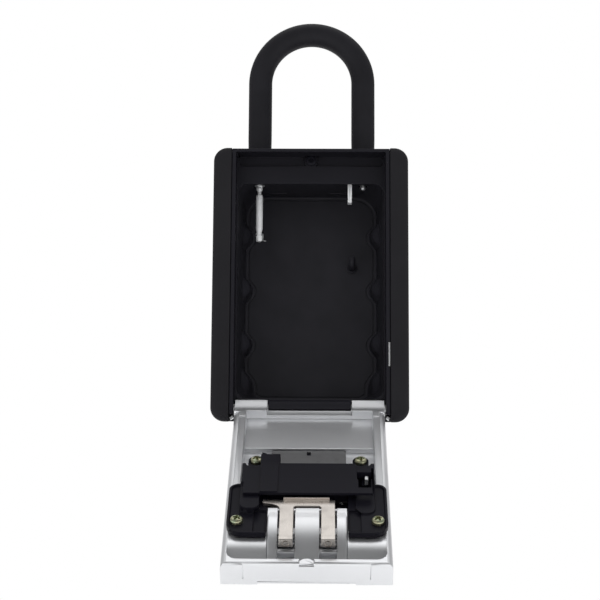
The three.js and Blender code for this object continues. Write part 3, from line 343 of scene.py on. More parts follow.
def mesh_of(piece):
    """A piece's mesh in millimetres, its doubles merged."""
    bm = bmesh.new()
    bm.from_mesh(piece.data)
    bmesh.ops.scale(bm, vec=(1 / MM, 1 / MM, 1 / MM), verts=bm.verts)
    bmesh.ops.remove_doubles(bm, verts=bm.verts, dist=2e-3)
    return bm


def copy_of(node, name):
    """A merged copy of a CAD node."""
    return object_from(mesh_of(frame["nodes"][node]), name)


def edged(piece, width, segments=2):
    """Rounds the edges of a finished shape."""
    name = piece.name
    made = object_from(round_edges(mesh_of(piece), width, segments), name + "_edged")
    bpy.data.objects.remove(piece)
    made.name = name
    return shaded(made)


# Node graphs: sums of sockets make their own Math nodes


class Wire:
    """A socket that can stand in a Python expression."""

    def __init__(self, graph, socket):
        self.graph, self.socket = graph, socket

    def step(self, low, high):
        """0 below low, 1 above high, smooth between them."""
        return self.graph.put("ShaderNodeMapRange", {"Value": self, "From Min": low, "From Max": high},
                              interpolation_type="SMOOTHSTEP")[0]


def math_method(operation, swapped=False):
    def method(self, *others):
        terms = (*others, self) if swapped else (self, *others)
        return self.graph.put("ShaderNodeMath", dict(enumerate(terms)), operation=operation)[0]
    return method


for method_name, math_name in (
        ("__add__", "ADD"), ("__radd__", "ADD"), ("__sub__", "SUBTRACT"), ("__mul__", "MULTIPLY"),
        ("__pow__", "POWER"), ("__abs__", "ABSOLUTE"), ("most", "MAXIMUM")):
    setattr(Wire, method_name, math_method(math_name))
Wire.__rsub__ = math_method("SUBTRACT", swapped=True)


class Placed:
    """A node whose outputs are read as wires."""

    def __init__(self, graph, node):
        self.graph, self.node = graph, node

    def __getitem__(self, key):
        return Wire(self.graph, self.node.outputs[key])


class Graph:
    """Writes the nodes of one material, world or geometry tree."""

    def __init__(self, tree):
        self.tree = tree
        tree.nodes.clear()

    def put(self, kind, sockets=None, stops=(), **settings):
        """A node with its settings, the stops of its ramp and the values or wires of its sockets."""
        node = self.tree.nodes.new(kind)
        for key, value in settings.items():
            setattr(node, key, value)
        if stops:
            ramp = node.color_ramp.elements
            while len(ramp) < len(stops):
                ramp.new(1)
            for element, (position, colour) in zip(ramp, stops):
                element.position, element.color = position, (*colour, 1)
        for key, value in (sockets or {}).items():
            socket = node.inputs[key]
            if isinstance(value, Wire):
                self.tree.links.new(value.socket, socket)
            else:
                short = socket.type == "RGBA" and len(value) == 3
                socket.default_value = (*value, 1) if short else value
        return Placed(self, node)

    def point(self, stretch=(1, 1, 1), turn=(0, 0, 0)):
        """The place on the piece in millimetres, turned and then stretched."""
        place = self.put("ShaderNodeTexCoord")["Object"]
        if any(turn):
            place = self.put("ShaderNodeMapping", {"Vector": place, "Rotation": turn},
                             vector_type="POINT")[0]
        return self.put("ShaderNodeVectorMath", {0: place, 1: tuple(s / MM for s in stretch)},
                        operation="MULTIPLY")[0]

    def door_point(self):
        """Across, level and reach on the door, in millimetres."""
        place = self.put("ShaderNodeTexCoord")["Object"]
        local = self.put("ShaderNodeMapping", {
            "Vector": place, "Rotation": (-OPEN_ANGLE, 0, 0),
            "Location": tuple(DOOR.inverted().to_translation() * MM)}, vector_type="POINT")[0]
        return self.parts(self.put("ShaderNodeVectorMath", {0: local, "Scale": 1 / MM},
                                   operation="SCALE")[0])

    def parts(self, vector):
        made = self.put("ShaderNodeSeparateXYZ", {0: vector})
        return made[0], made[1], made[2]

    def noise(self, vector, scale, detail=2.0, roughness=0.5):
        return self.put("ShaderNodeTexNoise", {
            "Vector": vector, "Scale": scale, "Detail": detail, "Roughness": roughness})[0]

    def cells(self, vector, scale):
        return self.put("ShaderNodeTexVoronoi", {"Vector": vector, "Scale": scale}, feature="F1")[0]

    def mixed(self, share, first, second):
        """A colour between two colours."""
        return self.put("ShaderNodeMix", {0: share, 6: first, 7: second}, data_type="RGBA")[2]

    def bump(self, height, depth, strength):
        """A normal from a height of 0 to 1, whose full depth is in millimetres."""
        return self.put("ShaderNodeBump", {
            "Height": height, "Distance": depth * MM, "Strength": strength})[0]


def shade(colour, *factors):
    """A colour times one factor, or one for each channel."""
    return tuple(min(1.0, c * f) for c, f in zip(colour, factors * (3 // len(factors))))


# Geometry Nodes: small trees with named inputs, whose result is kept as a plain mesh


def geometry_tree(name, inputs):
    """A tree with named inputs, each a socket type and a default."""
    tree = bpy.data.node_groups.new(name, "GeometryNodeTree")
    tree.interface.new_socket("Geometry", in_out="INPUT", socket_type="NodeSocketGeometry")
    for label, (kind, default) in inputs.items():
        socket = tree.interface.new_socket(label, in_out="INPUT", socket_type=kind)
        if default is not None:
            socket.default_value = default
    tree.interface.new_socket("Finish", in_out="INPUT", socket_type="NodeSocketMaterial")
    tree.interface.new_socket("Geometry", in_out="OUTPUT", socket_type="NodeSocketGeometry")
    graph = Graph(tree)
    return graph, graph.put("NodeGroupInput")


def end_tree(graph, given, geometry):
    whole = graph.put("GeometryNodeRealizeInstances", {0: geometry})
    coated = graph.put("GeometryNodeSetMaterial", {"Geometry": whole[0], "Material": given["Finish"]})
    graph.put("NodeGroupOutput", {0: coated[0]})
    return graph.tree


def bar_tree():
    """A round bar along a path of edges."""
    graph, given = geometry_tree("round bar", {
        "Radius": ("NodeSocketFloat", 0.004), "Sides": ("NodeSocketInt", 40)})
    path = graph.put("GeometryNodeMeshToCurve", {"Mesh": given["Geometry"]})
    ring = graph.put("GeometryNodeCurvePrimitiveCircle", {
        "Resolution": given["Sides"], "Radius": given["Radius"]}, mode="RADIUS")
    bar = graph.put("GeometryNodeCurveToMesh", {
        "Curve": path[0], "Profile Curve": ring[0], "Fill Caps": True})
    return end_tree(graph, given, bar[0])


def spread_tree():
    """Copies of one piece, one on each point, each turned by the point's own angles."""
    graph, given = geometry_tree("spread", {"Piece": ("NodeSocketObject", None)})
    piece = graph.put("GeometryNodeObjectInfo", {"Object": given["Piece"]}, transform_space="ORIGINAL")
    angles = graph.put("GeometryNodeInputNamedAttribute", {"Name": "turn"}, data_type="FLOAT_VECTOR")
    turn = graph.put("FunctionNodeEulerToRotation", {0: angles[0]})
    copies = graph.put("GeometryNodeInstanceOnPoints", {
        "Points": given["Geometry"], "Instance": piece["Geometry"], "Rotation": turn[0]})
    return end_tree(graph, given, copies[0])


def grown(piece, tree, values):
    """Runs a tree on a piece, its inputs set by identifier, and keeps the plain mesh."""
    modifier = piece.modifiers.new("grow", "NODES")
    modifier.node_group = tree
    for item in tree.interface.items_tree:
        if item.item_type == "SOCKET" and item.in_out == "INPUT" and item.name in values:
            modifier[item.identifier] = values[item.name]
    evaluated(piece)
    bm = bmesh.new()
    bm.from_mesh(piece.data)
    closed(bm, 1e-7).to_mesh(piece.data)
    bm.free()
    return shaded(piece)


def bar(path, name, place, radius, finish):
    """A round bar grown along a path in millimetres."""
    bm = bmesh.new()
    verts = [bm.verts.new(p) for p in path]
    for a, b in zip(verts, verts[1:]):
        bm.edges.new((a, b))
    values = {"Radius": radius * MM, "Finish": FINISHES[finish]}
    return grown(object_from(bm, name, place), bar_tree(), values)


def spread(places, name, model, finish):
    """Copies of a model, each at a place given as a matrix in millimetres."""
    mesh = bpy.data.meshes.new(name)
    mesh.from_pydata([tuple(place.to_translation() * MM) for place in places], [], [])
    turn = mesh.attributes.new("turn", "FLOAT_VECTOR", "POINT")
    for i, place in enumerate(places):
        turn.data[i].vector = tuple(place.to_euler())
    made = grown(linked(name, mesh), spread_tree(), {"Piece": model, "Finish": FINISHES[finish]})
    bpy.data.objects.remove(model)
    return made


# Finishes


def new_finish(name, paint, **plain):
    """A material: paint gives the sockets that vary, plain the ones that don't."""
    material = bpy.data.materials.new(name)
    material.use_nodes = True
    graph = Graph(material.node_tree)
    sockets = {key.replace("_", " ").title().replace("Ior", "IOR"): value for key, value in plain.items()}
    shader = graph.put("ShaderNodeBsdfPrincipled", {**sockets, **paint(graph)})
    graph.put("ShaderNodeOutputMaterial", {"Surface": shader[0]})
    return material


def soft_rubber(colour):
    """Soft-touch moulded rubber: a fine stipple, faintly shinier where hands rub it."""
    def paint(graph):
        place = graph.point()
        cloud = graph.noise(place, 0.045, 3.0)
        stipple = graph.cells(place, 2.6)
        grain = graph.noise(place, 5.0, 2.0)
        return {
            "Base Color": graph.mixed(cloud * 0.6 + grain * 0.3, shade(colour, 0.8), shade(colour, 1.5)),
            "Roughness": 0.64 - cloud.step(0.5, 0.75) * 0.1 + grain * 0.06,
            "Normal": graph.bump(stipple * 0.7 + grain * 0.3, 0.03, 0.5),
        }
    return new_finish("soft rubber", paint, specular_ior_level=0.12)


def powder_coat(colour):
    """Black powder coat over a casting: a fine orange peel with tiny pits."""
    def paint(graph):
        place = graph.point()
        peel = graph.noise(place, 1.1, 3.0)
        grain = graph.noise(place, 6.0, 2.0)
        cloud = graph.noise(place, 0.06, 2.0)
        return {
            "Base Color": graph.mixed(grain * 0.5 + cloud * 0.4, shade(colour, 0.75), shade(colour, 1.5)),
            "Roughness": 0.46 + grain * 0.1 - cloud * 0.08,
            "Normal": graph.bump(peel * 0.7 + grain * 0.3, 0.04, 0.4),
        }
    return new_finish("powder coat", paint, specular_ior_level=0.15)


def satin_plastic(name, colour, roughness, depth=0.02, specular=0.16):
    """Moulded plastic with a spark-eroded grain and slow changes of gloss."""
    def paint(graph):
        place = graph.point()
        grain = graph.noise(place, 4.0, 3.0)
        flow = graph.noise(place, 0.08, 2.0)
        return {
            "Base Color": graph.mixed(flow, shade(colour, 0.8), shade(colour, 1.35)),
            "Roughness": roughness + (flow - 0.5) * 0.12 + (grain - 0.5) * 0.08,
            "Normal": graph.bump(grain, depth, 0.5),
        }
    return new_finish(name, paint, specular_ior_level=specular)


def silver_lacquer(colour):
    """Silver lacquer on a zinc casting: fine flakes under a thin clear coat, duller on the knuckles."""
    def paint(graph):
        place = graph.point()
        flakes = graph.cells(place, 7.0)
        peel = graph.noise(place, 0.9, 2.0)
        cloud = graph.noise(place, 0.05, 3.0)
        sparkle = graph.noise(place, 14.0, 1.0)
        _, level, reach = graph.door_point()
        knuckles = (1 - reach.step(3, 8)) * level.step(-1, 1)
        return {
            "Metallic": 0.93 - knuckles * 0.72,
            "Base Color": graph.mixed(flakes * 0.35 + cloud * 0.45,
                                      shade(colour, 1.08), shade(colour, 0.84)),
            "Roughness": 0.34 + (sparkle - 0.5) * 0.2 + (cloud - 0.5) * 0.08,
            "Normal": graph.bump(peel * 0.5 + sparkle * 0.5, 0.025, 0.35),
        }
    return new_finish("silver lacquer", paint, coat_weight=0.1, coat_roughness=0.25)


def brushed_nickel(name, colour, along=(1, 1, 0.05), roughness=0.3, worn=False):
    """Plated sheet with a fine grain and a few dull patches; with worn set, also painted shade on the tips'
    end faces, mottled by the patches, and a brownish flange.
    """
    def paint(graph):
        turn = (-OPEN_ANGLE, 0, 0)
        lines = graph.noise(graph.point(along, turn), 6.0, 4.0, 0.65)
        broad = graph.noise(graph.point(along, turn), 1.2, 2.0)
        place = graph.point()
        patch = graph.noise(place, 0.25, 3.0)
        pits = graph.noise(place, 9.0, 1.0)
        base = graph.mixed(lines * 0.5 + patch * 0.5, shade(colour, 1.12), shade(colour, 0.78))
        if worn:
            _, level, reach = graph.door_point()
            # painted shade: the fork tips' end faces are darkened, mottled by the dull patches
            tip = reach.step(102.2, 102.8) * (0.45 + patch * 0.5)
            flange = level.step(7.9, 8.3) * (1 - reach.step(78, 79)) * 0.5
            base = graph.mixed(tip, base, shade(colour, 0.35))
            base = graph.mixed(flange, base, shade(colour, 0.62, 0.52, 0.46))
        return {
            "Base Color": base,
            "Roughness": roughness + (lines - 0.5) * 0.25 + patch.step(0.5, 0.8) * 0.12,
            "Normal": graph.bump(lines * 0.6 + broad * 0.2 + pits * 0.2, 0.012, 0.5),
        }
    return new_finish(name, paint, metallic=1.0)


def plated_steel(name, colour, metallic=0.9):
    """Bright plated steel with the rings that turning leaves."""
    def paint(graph):
        rings = graph.noise(graph.point((0.1, 0.1, 1)), 7.0, 3.0)
        haze = graph.noise(graph.point(), 0.5, 3.0)
        return {
            "Base Color": graph.mixed(haze, shade(colour, 1.1), shade(colour, 0.82)),
            "Roughness": 0.32 + rings * 0.08 + haze.step(0.45, 0.8) * 0.1,
            "Normal": graph.bump(rings, 0.002, 0.3),
        }
    return new_finish(name, paint, metallic=metallic)


def yellow_zinc(colour):
    """Yellow passivated zinc: a thin film that runs from straw to a greenish tint."""
    def paint(graph):
        place = graph.point()
        film = graph.noise(place, 0.55, 2.0)
        tint = graph.put("ShaderNodeValToRGB", {0: film}, stops=(
            (0.3, shade(colour, 0.9)), (0.5, colour), (0.62, shade(colour, 0.85, 1.02, 1.05)),
            (0.78, shade(colour, 1.05, 0.92, 1.1))))[0]
        scratch = graph.noise(place, 8.0, 3.0)
        return {
            "Base Color": tint,
            "Roughness": 0.24 + scratch * 0.16,
            "Normal": graph.bump(scratch, 0.01, 0.4),
        }
    return new_finish("yellow zinc", paint, metallic=1.0)


def figure_paint(colour):
    """Paint printed on the wheels, slightly worn."""
    def paint(graph):
        wear = graph.noise(graph.point(), 2.5, 3.0)
        return {
            "Base Color": graph.mixed(wear.step(0.55, 0.75), colour, shade(colour, 0.75)),
            "Roughness": 0.5 + wear * 0.15,
        }
    return new_finish("figure paint", paint)


FINISHES = {}
BODY_OF = {node: body for body, nodes in frame["record"]["behaviour"]["bodies"].items() for node in nodes}


def fitted(piece, finish, body, *nodes):
    """Gives a piece its finish and hands it to its body, in place of CAD nodes."""
    piece.data.materials.clear()
    piece.data.materials.append(FINISHES[finish])
    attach(piece, body)
    if nodes:
        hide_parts(*nodes)
    return piece


def dressed(node, finish, width):
    """A softened copy of a CAD node in place of it."""
    return fitted(edged(copy_of(node, f"{node}_skin"), width), finish, BODY_OF[node], node)


# Sizes and colours that a user would change


def colour_property(name, description, default):
    return FloatVectorProperty(name=name, description=description, subtype="COLOR", size=3,
                               min=0.0, max=1.0, default=default)


def length_property(name, description, default, low, high):
    return FloatProperty(name=name, description=f"{description}, in millimetres", default=default,
                         min=low, max=high)


class KeySafeSizes(bpy.types.PropertyGroup):
    """Sizes and colours of the key safe."""

    boss_rise: length_property("Boss rise", "Height of the bosses on the chamber's side walls", 3.2, 0.5, 4.0)
    figure_height: length_property("Figure height", "Height of the figures on the wheels", 3.4, 2.0, 4.0)
    edge_softness: length_property("Edge softness", "Round on moulded and cast edges", 0.3, 0.05, 0.6)
    jacket_colour: colour_property("Jacket", "Soft rubber round the housing", (0.0124, 0.0120, 0.0140))
    casting_colour: colour_property("Casting", "Powder coat of the housing", (0.0105, 0.0102, 0.0140))
    liner_colour: colour_property("Liner", "Plastic of the key chamber", (0.0190, 0.0186, 0.0236))
    sleeve_colour: colour_property("Sleeve", "Vinyl on the shackle", (0.0120, 0.0117, 0.0146))
    steel_colour: colour_property("Steel", "Plated steel", (0.72, 0.73, 0.74))
    lacquer_colour: colour_property("Lacquer", "Silver lacquer of the door", (0.83, 0.84, 0.86))
    case_colour: colour_property("Lock case", "Plastic of the lock case", (0.0064, 0.0061, 0.0096))
    nickel_colour: colour_property("Nickel", "Nickel plate of the latch", (0.71, 0.665, 0.62))
    screw_colour: colour_property("Screws", "Yellow zinc plate", (0.58, 0.57, 0.38))
    plate_colour: colour_property("Floor plate", "Dull zinc plate in the tray", (0.24, 0.24, 0.245))
    wheel_colour: colour_property("Wheels", "Plastic of the number wheels", (0.012, 0.012, 0.013))
    figure_colour: colour_property("Figures", "Paint of the figures", (0.85, 0.85, 0.83))


# Operators: one for each piece or group of like pieces


class PieceOperator:
    """What every building operator shares."""

    bl_options = {"REGISTER", "UNDO"}

    def execute(self, context):
        self.build(context.scene.key_safe, context.scene.key_safe.edge_softness)
        return {"FINISHED"}


class KEYSAFE_OT_finishes(PieceOperator, bpy.types.Operator):
    """Makes the materials that the pieces share"""

    bl_idname = "key_safe.finishes"
    bl_label = "Finishes"

    def build(self, sizes, soft):
        FINISHES.update({
            "jacket": soft_rubber(sizes.jacket_colour),
            "casting": powder_coat(sizes.casting_colour),
            "liner": satin_plastic("chamber plastic", sizes.liner_colour, 0.5),
            "sleeve": satin_plastic("sleeve vinyl", sizes.sleeve_colour, 0.5, 0.03, 0.13),
            "steel": plated_steel("plated steel", sizes.steel_colour),
            # a less metallic copy of the steel whose colour is raised by a fifth: painted light for the dim
            # key chamber
            "bright": plated_steel("bright zinc", shade(sizes.steel_colour, 1.2), 0.2),
            "zinc": silver_lacquer(sizes.lacquer_colour),
            "lock_case": satin_plastic("lock case plastic", sizes.case_colour, 0.42, 0.015, 0.1),
            # the latch's nickel carries painted shade on the fork tips' end faces
            "nickel": brushed_nickel("brushed nickel", sizes.nickel_colour, worn=True),
            "screw": yellow_zinc(sizes.screw_colour),
            "plate": brushed_nickel("dull zinc", sizes.plate_colour, (0.05, 1, 1), roughness=0.45),
            "wheel": satin_plastic("wheel plastic", sizes.wheel_colour, 0.3, 0.01, 0.5),
            "figures": figure_paint(sizes.figure_colour),
        })


def drafted(bm):
    """The underside of the housing rises towards the back."""
    for v in bm.verts:
        v.co.z += BOTTOM_DRAFT * (v.co.y / BODY_DEPTH) * (1 - v.co.z / BODY_HEIGHT)
    return bm


class KEYSAFE_OT_jacket(PieceOperator, bpy.types.Operator):
    """The soft rubber jacket round the housing"""

    bl_idname = "key_safe.jacket"
    bl_label = "Jacket"

    def build(self, sizes, soft):
        outline = outline_rect((-BODY_HALF, BODY_HALF), (0, BODY_HEIGHT), 6, 14)
        jacket = object_from(drafted(prism(outline, (0, BODY_DEPTH), "Y", 3.5, 9)), "jacket", HOUSING)
        wall, out, above = 3, -5, 125
        inside = block((wall - BODY_HALF, BODY_HALF - wall), (wall, 60), (wall, BODY_HEIGHT - wall))
        carve(jacket, HOUSING, drafted(inside), block(RIM_SPAN, (out, 8), (out, above)),
              block(RIM_SPAN, (out, 60), (114.7, above)), block(RIM_SPAN, (out, 11.8), (out, 8.2)))
        fitted(edged(jacket, soft * 1.4, segments=3), "jacket", "casing", "outer_jacket")


class KEYSAFE_OT_casting(PieceOperator, bpy.types.Operator):
    """The housing's casting with its front rim, lip and shelf"""

    bl_idname = "key_safe.casting"
    bl_label = "Housing casting"

    def build(self, sizes, soft):
        recess = prism(outline_rect((-31.2, 31.2), (112.6, 116.9), (1.6, 0, 0, 1.6), 6), (9.0, 11.3), "Y")
        boss = turned([(0, 9.9), (2.9, 9.9), (3.1, 10.1), (3.1, 11.6), (0, 11.6)], "Y", SHELF_SCREW, 40)
        slot = carve(object_from(recess, "recess", HOUSING), HOUSING, boss)
        casting = carve(copy_of("body_casting", "housing_casting"), HOUSING, slot)
        fitted(edged(casting, soft), "casting", "casing", "body_casting")


def chamber_outline(half, low, high, radius):
    """Points round the chamber, as many on each stretch whatever its size."""
    x, bottom, top = half - radius, low + radius, high - radius
    across, upright = 18, 72
    points = []
    for start, end, count, centre, turn in (
            ((-x, low), (x, low), across, (x, bottom), -90),
            ((half, bottom), (half, top), upright, (x, top), 0),
            ((x, high), (-x, high), across, (-x, top), 90),
            ((-half, top), (-half, bottom), upright, (-x, bottom), 180)):
        points += [*np.linspace(start, end, count, endpoint=False)]
        points += arc(centre, radius, turn, turn + 90, 11)[:-1]
    return np.array(points)


def eased(value, low, high):
    t = np.clip((value - low) / (high - low), 0, 1)
    return t * t * (3 - 2 * t)


def pocket_ring(depth, rise, drawn_in=0.0):
    """The chamber's wall at a depth, its side bosses rising inwards towards the back."""
    share = (depth - CHAMBER_FRONT) / (CHAMBER_BACK - CHAMBER_FRONT)
    ring = chamber_outline(31.6 - 2.1 * share - drawn_in, 11 + 1.7 * share + drawn_in,
                           107 - 1.7 * share - drawn_in, 4.5 + 5.5 * share - drawn_in)
    lens = sum(np.clip(np.cos((ring[:, 1] - z) / BOSS_REACH * math.pi / 2), 0, None) ** 0.9
               * (abs(ring[:, 1] - z) < BOSS_REACH) for z in BOSS_HEIGHTS)
    at_side = eased(abs(ring[:, 0]), 23, 27)
    ring[:, 0] -= np.sign(ring[:, 0]) * rise * lens * at_side * eased(depth, 26, 31.5)
    return ring


def chamber_shell(rise):
    """The liner: an outer wall, and a pocket with a rounded foot and a groove round its back."""
    outer = chamber_outline(32.8, 10, 108.2, 4.5)
    rings = [(outer, LINER_BACK), (outer, LINER_FRONT)]
    rings += [(pocket_ring(d, rise), d) for d in np.linspace(LINER_FRONT, CHAMBER_BACK - 1, 44)]
    foot = arc((1, CHAMBER_BACK - 1), 1, 180, 90, 7)[1:]
    bottom = CHAMBER_BACK + 0.35
    groove = [(1.2, CHAMBER_BACK), (1.3, bottom), (1.7, bottom), (1.8, CHAMBER_BACK)]
    rings += [(pocket_ring(CHAMBER_BACK, rise, drawn_in), depth) for drawn_in, depth in foot + groove]
    rings.append((pocket_ring(CHAMBER_BACK, 0, 5.5), CHAMBER_BACK))
    return solid([[(x, depth, z) for x, z in ring] for ring, depth in rings])


class KEYSAFE_OT_chamber(PieceOperator, bpy.types.Operator):
    """The liner of the key chamber with its side bosses"""

    bl_idname = "key_safe.chamber"
    bl_label = "Key chamber"

    def build(self, sizes, soft):
        liner = object_from(chamber_shell(sizes.boss_rise), "chamber_liner", HOUSING)
        roof = (102, 112)
        carve(liner, HOUSING, block((-11.7, 11.7), (5, 15.7), (99.7, 112)),
              block((15.8, 21.2), (13.2, 17.8), roof),
              prism(outline_disc(2.6, LONG_LEG), roof), prism(outline_disc(1.9, SHORT_LEG), roof))
        weld(liner, HOUSING, *[
            swept([(a, 32.5, 105.75), ((a + b) / 2, 32.5, 105.7), (b, 32.5, 105.75)], [0.1, 0.35, 0.35], 12)
            for a, b in ((-21.0, -11.3), (15.8, 8.4))])
        fitted(shaded(liner), "liner", "casing", "key_liner")


def screw_model(name, radius, height, shank, length):
    """A pan-head screw with a cross recess, its seat on the origin and its head along +Z."""
    crown = arc((radius - height * 0.55, height * 0.42), (height * 0.55, height * 0.42), 0, 90, 6)
    model = object_from(turned([
        (0, -length), (shank * 0.5, -length), (shank, -length + shank * 0.5), (shank, 0), (radius, 0),
        *crown, (radius * 0.45, height * 0.96), (0, height)], sides=40), name)
    arm, wide, foot, above = radius * 0.62, 0.46, height * 0.3, height + 1
    along, thick, deep = (-arm, arm), (-wide, wide), (foot, above)
    carve(model, Matrix.Identity(4), block(along, thick, deep), block(thick, along, deep),
          turned([(0, foot - height * 0.35), (wide * 1.5, foot), (wide * 1.9, above), (0, above)], sides=4))
    return edged(model, 0.08, segments=1)


def facing(axis, centre, spin):
    """A place whose +Z looks along an axis, turned about it."""
    turn = Vector(axis).to_track_quat("Z", "Y").to_matrix().to_4x4()
    return Matrix.Translation(centre) @ turn @ Matrix.Rotation(math.radians(spin), 4, "Z")


class KEYSAFE_OT_housing_fittings(PieceOperator, bpy.types.Operator):
    """Hook, screws, tabs and the back plate of the housing"""

    bl_idname = "key_safe.housing_fittings"
    bl_label = "Housing fittings"

    def build(self, sizes, soft):
        self.hook()
        self.shelf_screw()
        dressed("back_plate", "casting", soft)
        for side in ("left", "right"):
            dressed(f"hinge_pin_{side}", "steel", soft * 0.6)
            dressed(f"stop_tab_{side}", "steel", soft * 0.5)
        dressed("rail_leaf", "steel", soft * 0.3)
        dressed("hinge_barrel", "casting", soft * 0.8)
        bush = turned([(1.85, 106.2), (2.1, 106.2), (2.5, 106.6), (2.5, 108), (1.85, 108), (1.85, 106.2)],
                      centre=LONG_LEG)
        fitted(shaded(object_from(bush, "stem_bush_ring", HOUSING)), "steel", "casing", "stem_bush")
        model = screw_model("back_screw_model", 2.2, 1.2, 1.3, 7.8)
        places = [HOUSING @ facing((0, 1, 0), (x, 42.7, z), spin) for x, z, spin in (
            (-35.5, 13.2, 12), (35.5, 13.2, 50), (-35.5, 109.8, 73), (35.5, 109.8, 31))]
        screws = spread(places, "back_screws", model, "steel")
        fitted(screws, "steel", "casing", *[f"back_screw_{i + 1}" for i in range(4)])

    def hook(self):
        """A bent pin on a flange, thinner towards its tip."""
        x, foot = HOOK_PLACE
        path = [(38.8, foot), (36.4, foot), (34.2, foot), *arc((34.2, 74.9), 2.4, 258.541, 180, 8),
                (31.8, 75.8), (31.8, 76.3), (31.8, 76.6), (31.8, 76.7)]
        radii = [1.9, 1.4] + [1.35] * (len(path) - 6) + [1.25, 1.15, 0.8, 0.35]
        hook = object_from(swept([(x, y, z) for y, z in path], radii, 28), "chamber_hook", HOUSING)
        flange = turned([(0, 37.9), (1.9, 37.9), (2.3, 38.2), (2.4, 38.8), (0, 38.8)], "Y", HOOK_PLACE)
        fitted(shaded(weld(hook, HOUSING, flange)), "liner", "casing", "key_hook")

    def shelf_screw(self):
        """A round head with a hexagon socket."""
        seat = 9.8
        profile = [(0, seat + 6), (0.7, seat + 6), (1.2, seat + 5.4), (1.2, seat), (2.4, seat),
                   (2.4, seat - 0.5), (2.25, seat - 0.85), (1.8, seat - 1.12), (1.3, seat - 1.2),
                   (0, seat - 1.2)]
        screw = object_from(turned(profile, "Y", SHELF_SCREW, 40), "shelf_screw_head", HOUSING)
        carve(screw, HOUSING, prism(outline_disc(1.15, SHELF_SCREW, 6), (seat - 3, seat - 0.4), "Y"))
        fitted(edged(screw, 0.06, segments=1), "lock_case", "casing", "shelf_screw")


def arch_path(low):
    """Up one leg of the shackle, round the bow and down the other."""
    left = [(-LEG_HALF, LEG_DEPTH, z) for z in np.linspace(low, BOW_CENTRE, 8)[:-1]]
    bow = [(x, LEG_DEPTH, z) for x, z in arc((0, BOW_CENTRE), LEG_HALF, 180, 0, 56)]
    return left + bow + [(-x, y, z) for x, y, z in reversed(left)]


class KEYSAFE_OT_shackle(PieceOperator, bpy.types.Operator):
    """The steel shackle, its sleeve and its stem"""

    bl_idname = "key_safe.shackle"
    bl_label = "Shackle"

    def build(self, sizes, soft):
        bow = bar(arch_path(LEG_SEAT), "shackle_bar", HOUSING, 4, "steel")
        carve(bow, HOUSING, block((13.9, 21.2), (13, 31), (110.6, 113.6)),
              prism(outline_disc(1.65, LONG_LEG), (104, 113.7)))
        foot = [(0, 104.6), (0.7, 104.6), (1.1, 104.9), (1.3, 105.6), (1.3, 110), (0, 110)]
        weld(bow, HOUSING, turned(foot, centre=SHORT_LEG))
        fitted(edged(bow, soft), "steel", "shackle", "shackle_bow")
        path = arch_path(SLEEVE_END)
        ends = [4.85, 5.1] + [5.2] * (len(path) - 4) + [5.1, 4.85]
        sleeve = object_from(tube(path, ends, 4.2, 44), "shackle_sleeve_skin", HOUSING)
        fitted(shaded(sleeve), "sleeve", "shackle", "shackle_sleeve")
        self.stem()
        self.catch()

    def catch(self):
        """The catch's tab, square at its foot, with a slanting groove down its front."""
        catch = copy_of("release_catch", "catch_tab")
        low = min(v.co.z for v in catch.data.vertices) / MM + HOUSING_DROP
        weld(catch, HOUSING, block((16.12, 17.88), (13.52, 17.48), (low, low + 4)))
        groove = [(16.75, low + 0.6), (17.1, low + 0.6), (17.35, low + 15), (17.0, low + 15)]
        carve(catch, HOUSING, prism(groove, (13, 14.1), "Y"))
        # the catch takes the lighter copy of the steel, whose raised colour is painted light
        fitted(edged(catch, 0.12), "bright", "catch", "release_catch")

    def stem(self):
        """The long leg's stem, with a ball at its top and a ring with a bent tail in its neck."""
        neck, top = 84.3, 102.6
        profile = [(0, 81.4), (1.1, 81.4), (1.4, 81.7), (1.4, neck - 0.4), (1.15, neck - 0.2),
                   (1.15, neck + 0.8), (1.15, neck + 1.3), (1.5, neck + 2.6), (1.52, 88),
                   (1.52, top - 0.9), (1.2, top - 0.2), (0.75, top), (0.75, top + 1.0),
                   *arc((0, top + 2.6), (1.4, 1.5), -58.487, 18.862, 8),
                   (1.2, top + 3.4), (1.55, top + 3.9), (1.55, 113.5), (0, 113.5)]
        stem = object_from(turned(profile, centre=LONG_LEG, sides=36), "stem_shaft", HOUSING)
        # the stem takes the lighter copy of the steel, whose raised colour is painted light
        fitted(shaded(stem, 50), "bright", "shackle", "shackle_stem")
        ring = arc(LONG_LEG, 1.95, -52, 232, 40) + arc(LONG_LEG, 1.22, 232, -52, 40)
        clip = object_from(prism(ring, (neck, neck + 0.6)), "stem_clip_ring", HOUSING)
        tail = [(1.7, 0, 84.6), (1.72, 0, 83.6), (1.75, -0.2, 82.2), (1.9, -0.3, 81.75), (2.6, -0.4, 81.62),
                (3.1, -0.4, 81.6)]
        weld(clip, HOUSING, swept([(x - LEG_HALF, y + LEG_DEPTH, z) for x, y, z in tail], 0.2, 12))
        fitted(shaded(clip, 40), "steel", "shackle", "stem_clip")


def falling(start, end, top, bottom):
    """Level and reach of a slope that leaves a flat top and steepens evenly."""
    steps = 22
    shares = [i / steps for i in range(steps + 1)]
    return [(top + (bottom - top) * share ** 2, start + (end - start) * share) for share in shares]


